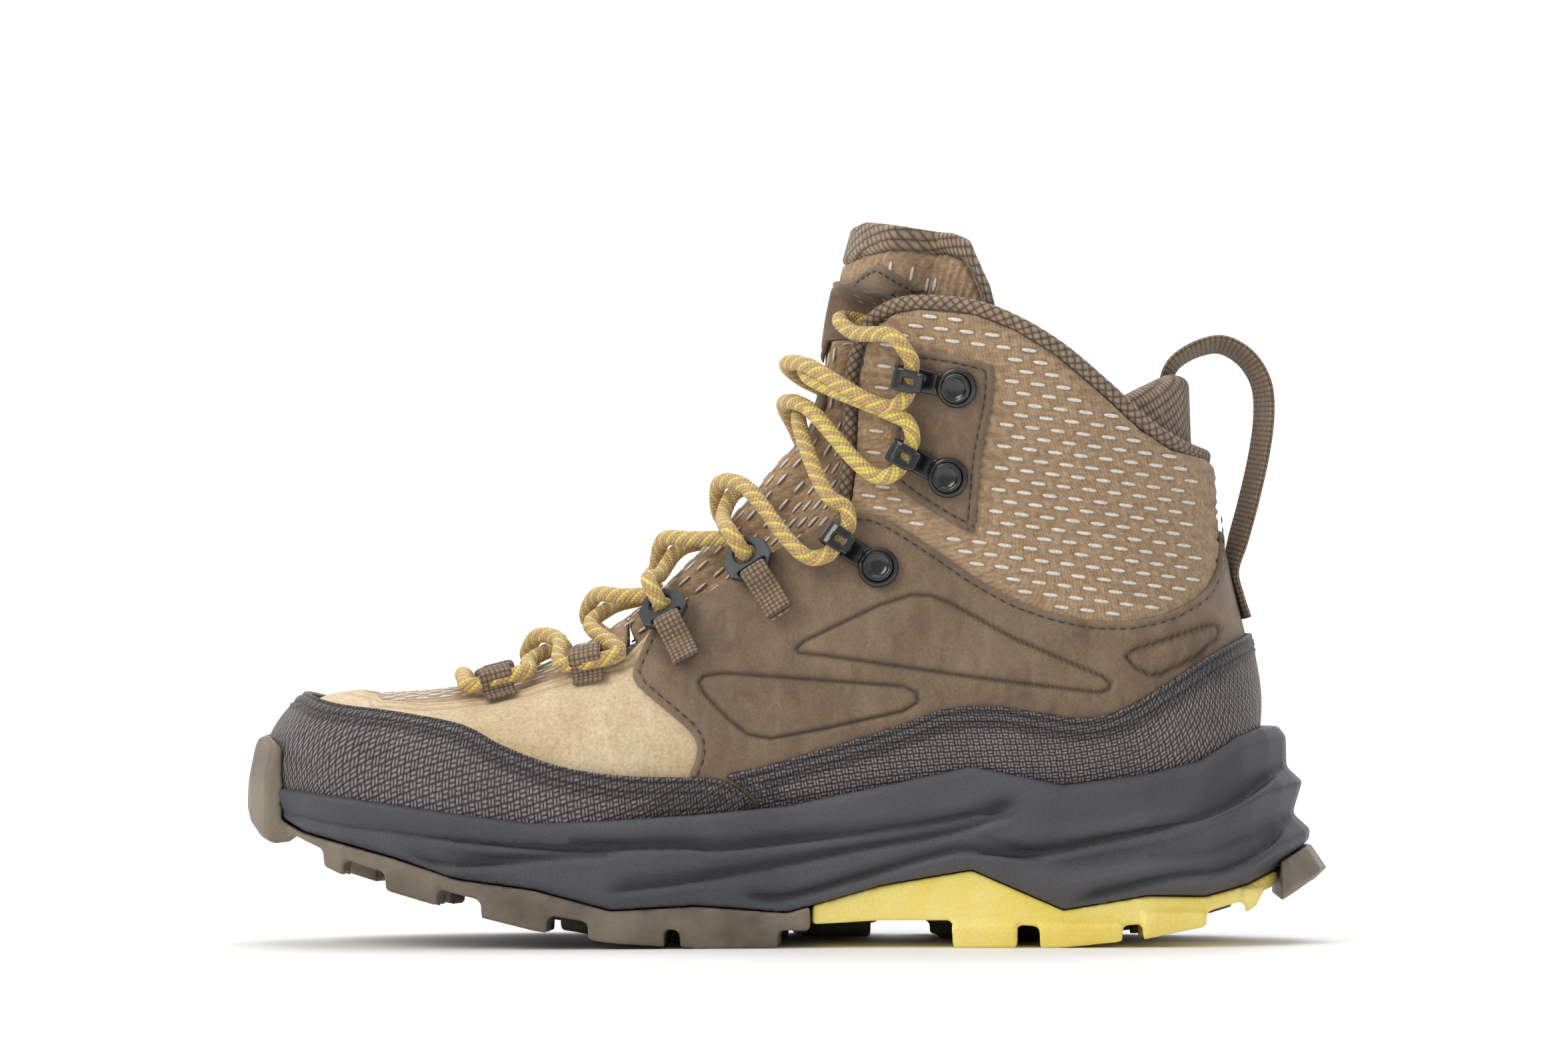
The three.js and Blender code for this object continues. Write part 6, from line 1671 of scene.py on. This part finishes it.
for label, side in bothSides:
    for at, to in ringPlaces:
        ringNumber += 1
        seat = skinFrame(at, to, side, ringHeight)
        strapPiece(f"ring_strap_{ringNumber}_webbing", seat, rounded(strapCentre, steps=3), 0.95, 7.3,
                   webbing, "boot",
                   [f"ring_strap_{ringNumber}"])
        turn, origin = seat
        spots = []
        for a, b in (((11.4, -2.9), (11.4, 2.9)), ((11.4, 2.9), (20.2, 2.9)), ((20.2, 2.9), (20.2, -2.9)),
                     ((20.2, -2.9), (11.4, -2.9))):
            a, b = np.array(a), np.array(b)
            count = max(int(round(np.linalg.norm(b - a) / 2.2)), 1)
            for j in range(count):
                p, q = a + (b - a) * (j + 0.1) / count, a + (b - a) * (j + 0.9) / count
                pair = []
                for s in (p, q):
                    flatPoint = np.array([s[0], s[1], 0]) @ turn.T + origin
                    uu, tt = onSkin([[flatPoint[0], flatPoint[2]]], side, quarterLift[1])
                    sgn = np.full(1, float(side))
                    pair.append((skinPoint(uu, tt, sgn, quarterLift[1] + (0.85 if s[0] < 17.6 else 0.1))[0],
                                 lastNormal(uu, tt, sgn)[0]))
                spots.append((pair[0][0], pair[1][0], pair[0][1], 0.34))
        rows.append(spots)
    for at in tunnelPlaces:
        tunnelNumber += 1
        turn, origin = skinFrame(at, [at[0] - 8, at[1] - 1.6], side, suedeLift[1] + 0.35)
        quarterTurn = np.array([[0, -1, 0], [1, 0, 0], [0, 0, 1]], float)
        strapPiece(f"tunnel_{tunnelNumber}_webbing", (turn @ quarterTurn, origin),
                   rounded(tunnelCentre, steps=3), 0.9,
                   tunnel["width"], webbing, "boot", [f"lace_loop_{tunnelNumber}"])
stitchPiece("strap_stitching", rows, tanThread)

# Pull loop
loopCentre = [
    [100.2, 145], [100.8, 150.2], [103.6, 154.2], [109.3, 157.3], [115.5, 158.1], [121.7, 154.4],
              [125.6, 147.8],
    [126.3, 139.4], [125, 129], [122.2, 116.5], [119.4, 106.1], [117.7, 98.6], [119.2, 92], [121.3, 85.6]]
loopPoints = rounded(loopCentre, steps=8)
share = np.linspace(0, 1, len(loopPoints))
loopRoll = np.radians(mixed(12, 17, smoothStep(0.1, 0.4, share))) * (1 - 0.6 * smoothStep(0.75, 0.9, share))
strapPiece("pull_loop_webbing", None, loopPoints, 1.6, 14.2, webbing, "boot", ["pull_loop"], 15,
           loopRoll)
print("hardware done")

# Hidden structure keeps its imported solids
hiddenLooks = {
    "shank_plate": plasticFinish("shankNylon", "#1d1f22", "#2b2e33"), "insole_board": boardFelt,
               "footbed": boardFelt,
    "toe_puff": boardFelt, "heel_counter": boardFelt}
for name, look in hiddenLooks.items():
    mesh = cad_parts[name].data
    mesh.materials.clear()
    mesh.materials.append(look)
for k in range(1, 7):
    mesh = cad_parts[f"hook_washer_{k}"].data
    mesh.materials.clear()
    mesh.materials.append(blackEnamel)


# Floor and light
def floorFinish():
    # Matte white acrylic sheet with a faint mottle
    material, tree, shader = newMaterial("whiteSweep", 0.75)
    # painted light: the far part glows by emission, more towards the back, so it stays white away from the
    # lamps
    spot = addNode(tree, "SeparateXYZ",
                   inputs={"Vector": addNode(tree, "NewGeometry").outputs["Position"]})
    glow = addNode(tree, "ValToRGB", {"stops": [(0.12, 0.0), (0.5, 0.55)]},
                   {"Fac": addNode(tree, "Math", {"operation": "MULTIPLY"}, {0: spot.outputs["Y"], 1: 0.2},
                                   0)}, "Color")
    shader.inputs["Emission Color"].default_value = (1, 1, 1, 1)
    tree.links.new(glow, shader.inputs["Emission Strength"])
    tree.links.new(addNode(tree, "ValToRGB", {"stops": [(0.3, "#f4f4f3"), (0.7, "#f8f8f7")]},
                           {"Fac": addNode(tree, "TexNoise", None,
                                           {"Vector": place(tree, 300), "Scale": 1.0, "Detail": 2,
                                            "Roughness": 0.5}, "Fac")}, "Color"), shader.inputs["Base Color"])
    return material


sweep = {"front": -4.5, "back": 4.4, "rise": 3.0, "half": 6.0, "bend": 1.2}
profile = [(sweep["front"], 0.0), (0.0, 0.0), (sweep["back"] - sweep["bend"], 0.0)]
profile += [(sweep["back"] - sweep["bend"] + sweep["bend"] * math.sin(a), sweep["bend"] * (1 - math.cos(a)))
            for a in np.linspace(0.1, math.pi / 2, 10)]
profile.append((sweep["back"], sweep["rise"]))
points = [(x, y, z) for y, z in profile for x in (-sweep["half"], sweep["half"])]
faces = [[2 * k, 2 * k + 1, 2 * k + 3, 2 * k + 2] for k in range(len(profile) - 1)]
floor = newObject("floor", points, faces)
floor.data.materials.append(floorFinish())

lamps = {
    "key": {"at": (-1.5, -1.0, 1.4), "size": 1.2, "power": 24, "colour": "#fffaf3"},
    "fill": {"at": (1.1, -1.5, 0.7), "size": 1.6, "power": 2.6, "colour": "#f5f8ff"},
    "top": {"at": (0.1, 0.1, 1.9), "size": 1.6, "power": 14, "colour": "#ffffff"},
    "back": {"at": (0.2, 1.0, 1.2), "size": 1.4, "power": 10, "colour": "#ffffff"}}
for name, lamp in lamps.items():
    data = bpy.data.lights.new(name, "AREA")
    data.size = lamp["size"]
    data.energy = lamp["power"]
    data.color = linear(lamp["colour"])[:3]
    light = bpy.data.objects.new(name, data)
    light.location = lamp["at"]
    aim = Vector((0, 0, 0.08)) - Vector(lamp["at"])
    light.rotation_euler = aim.to_track_quat("-Z", "Y").to_euler()
    bpy.context.scene.collection.objects.link(light)

world = bpy.data.worlds.new("studio")
world.use_nodes = True
world.node_tree.nodes["Background"].inputs["Color"].default_value = linear("#ffffff")
world.node_tree.nodes["Background"].inputs["Strength"].default_value = 0.5
bpy.context.scene.world = world
bpy.context.scene.view_settings.view_transform = "Standard"

print("scene done")
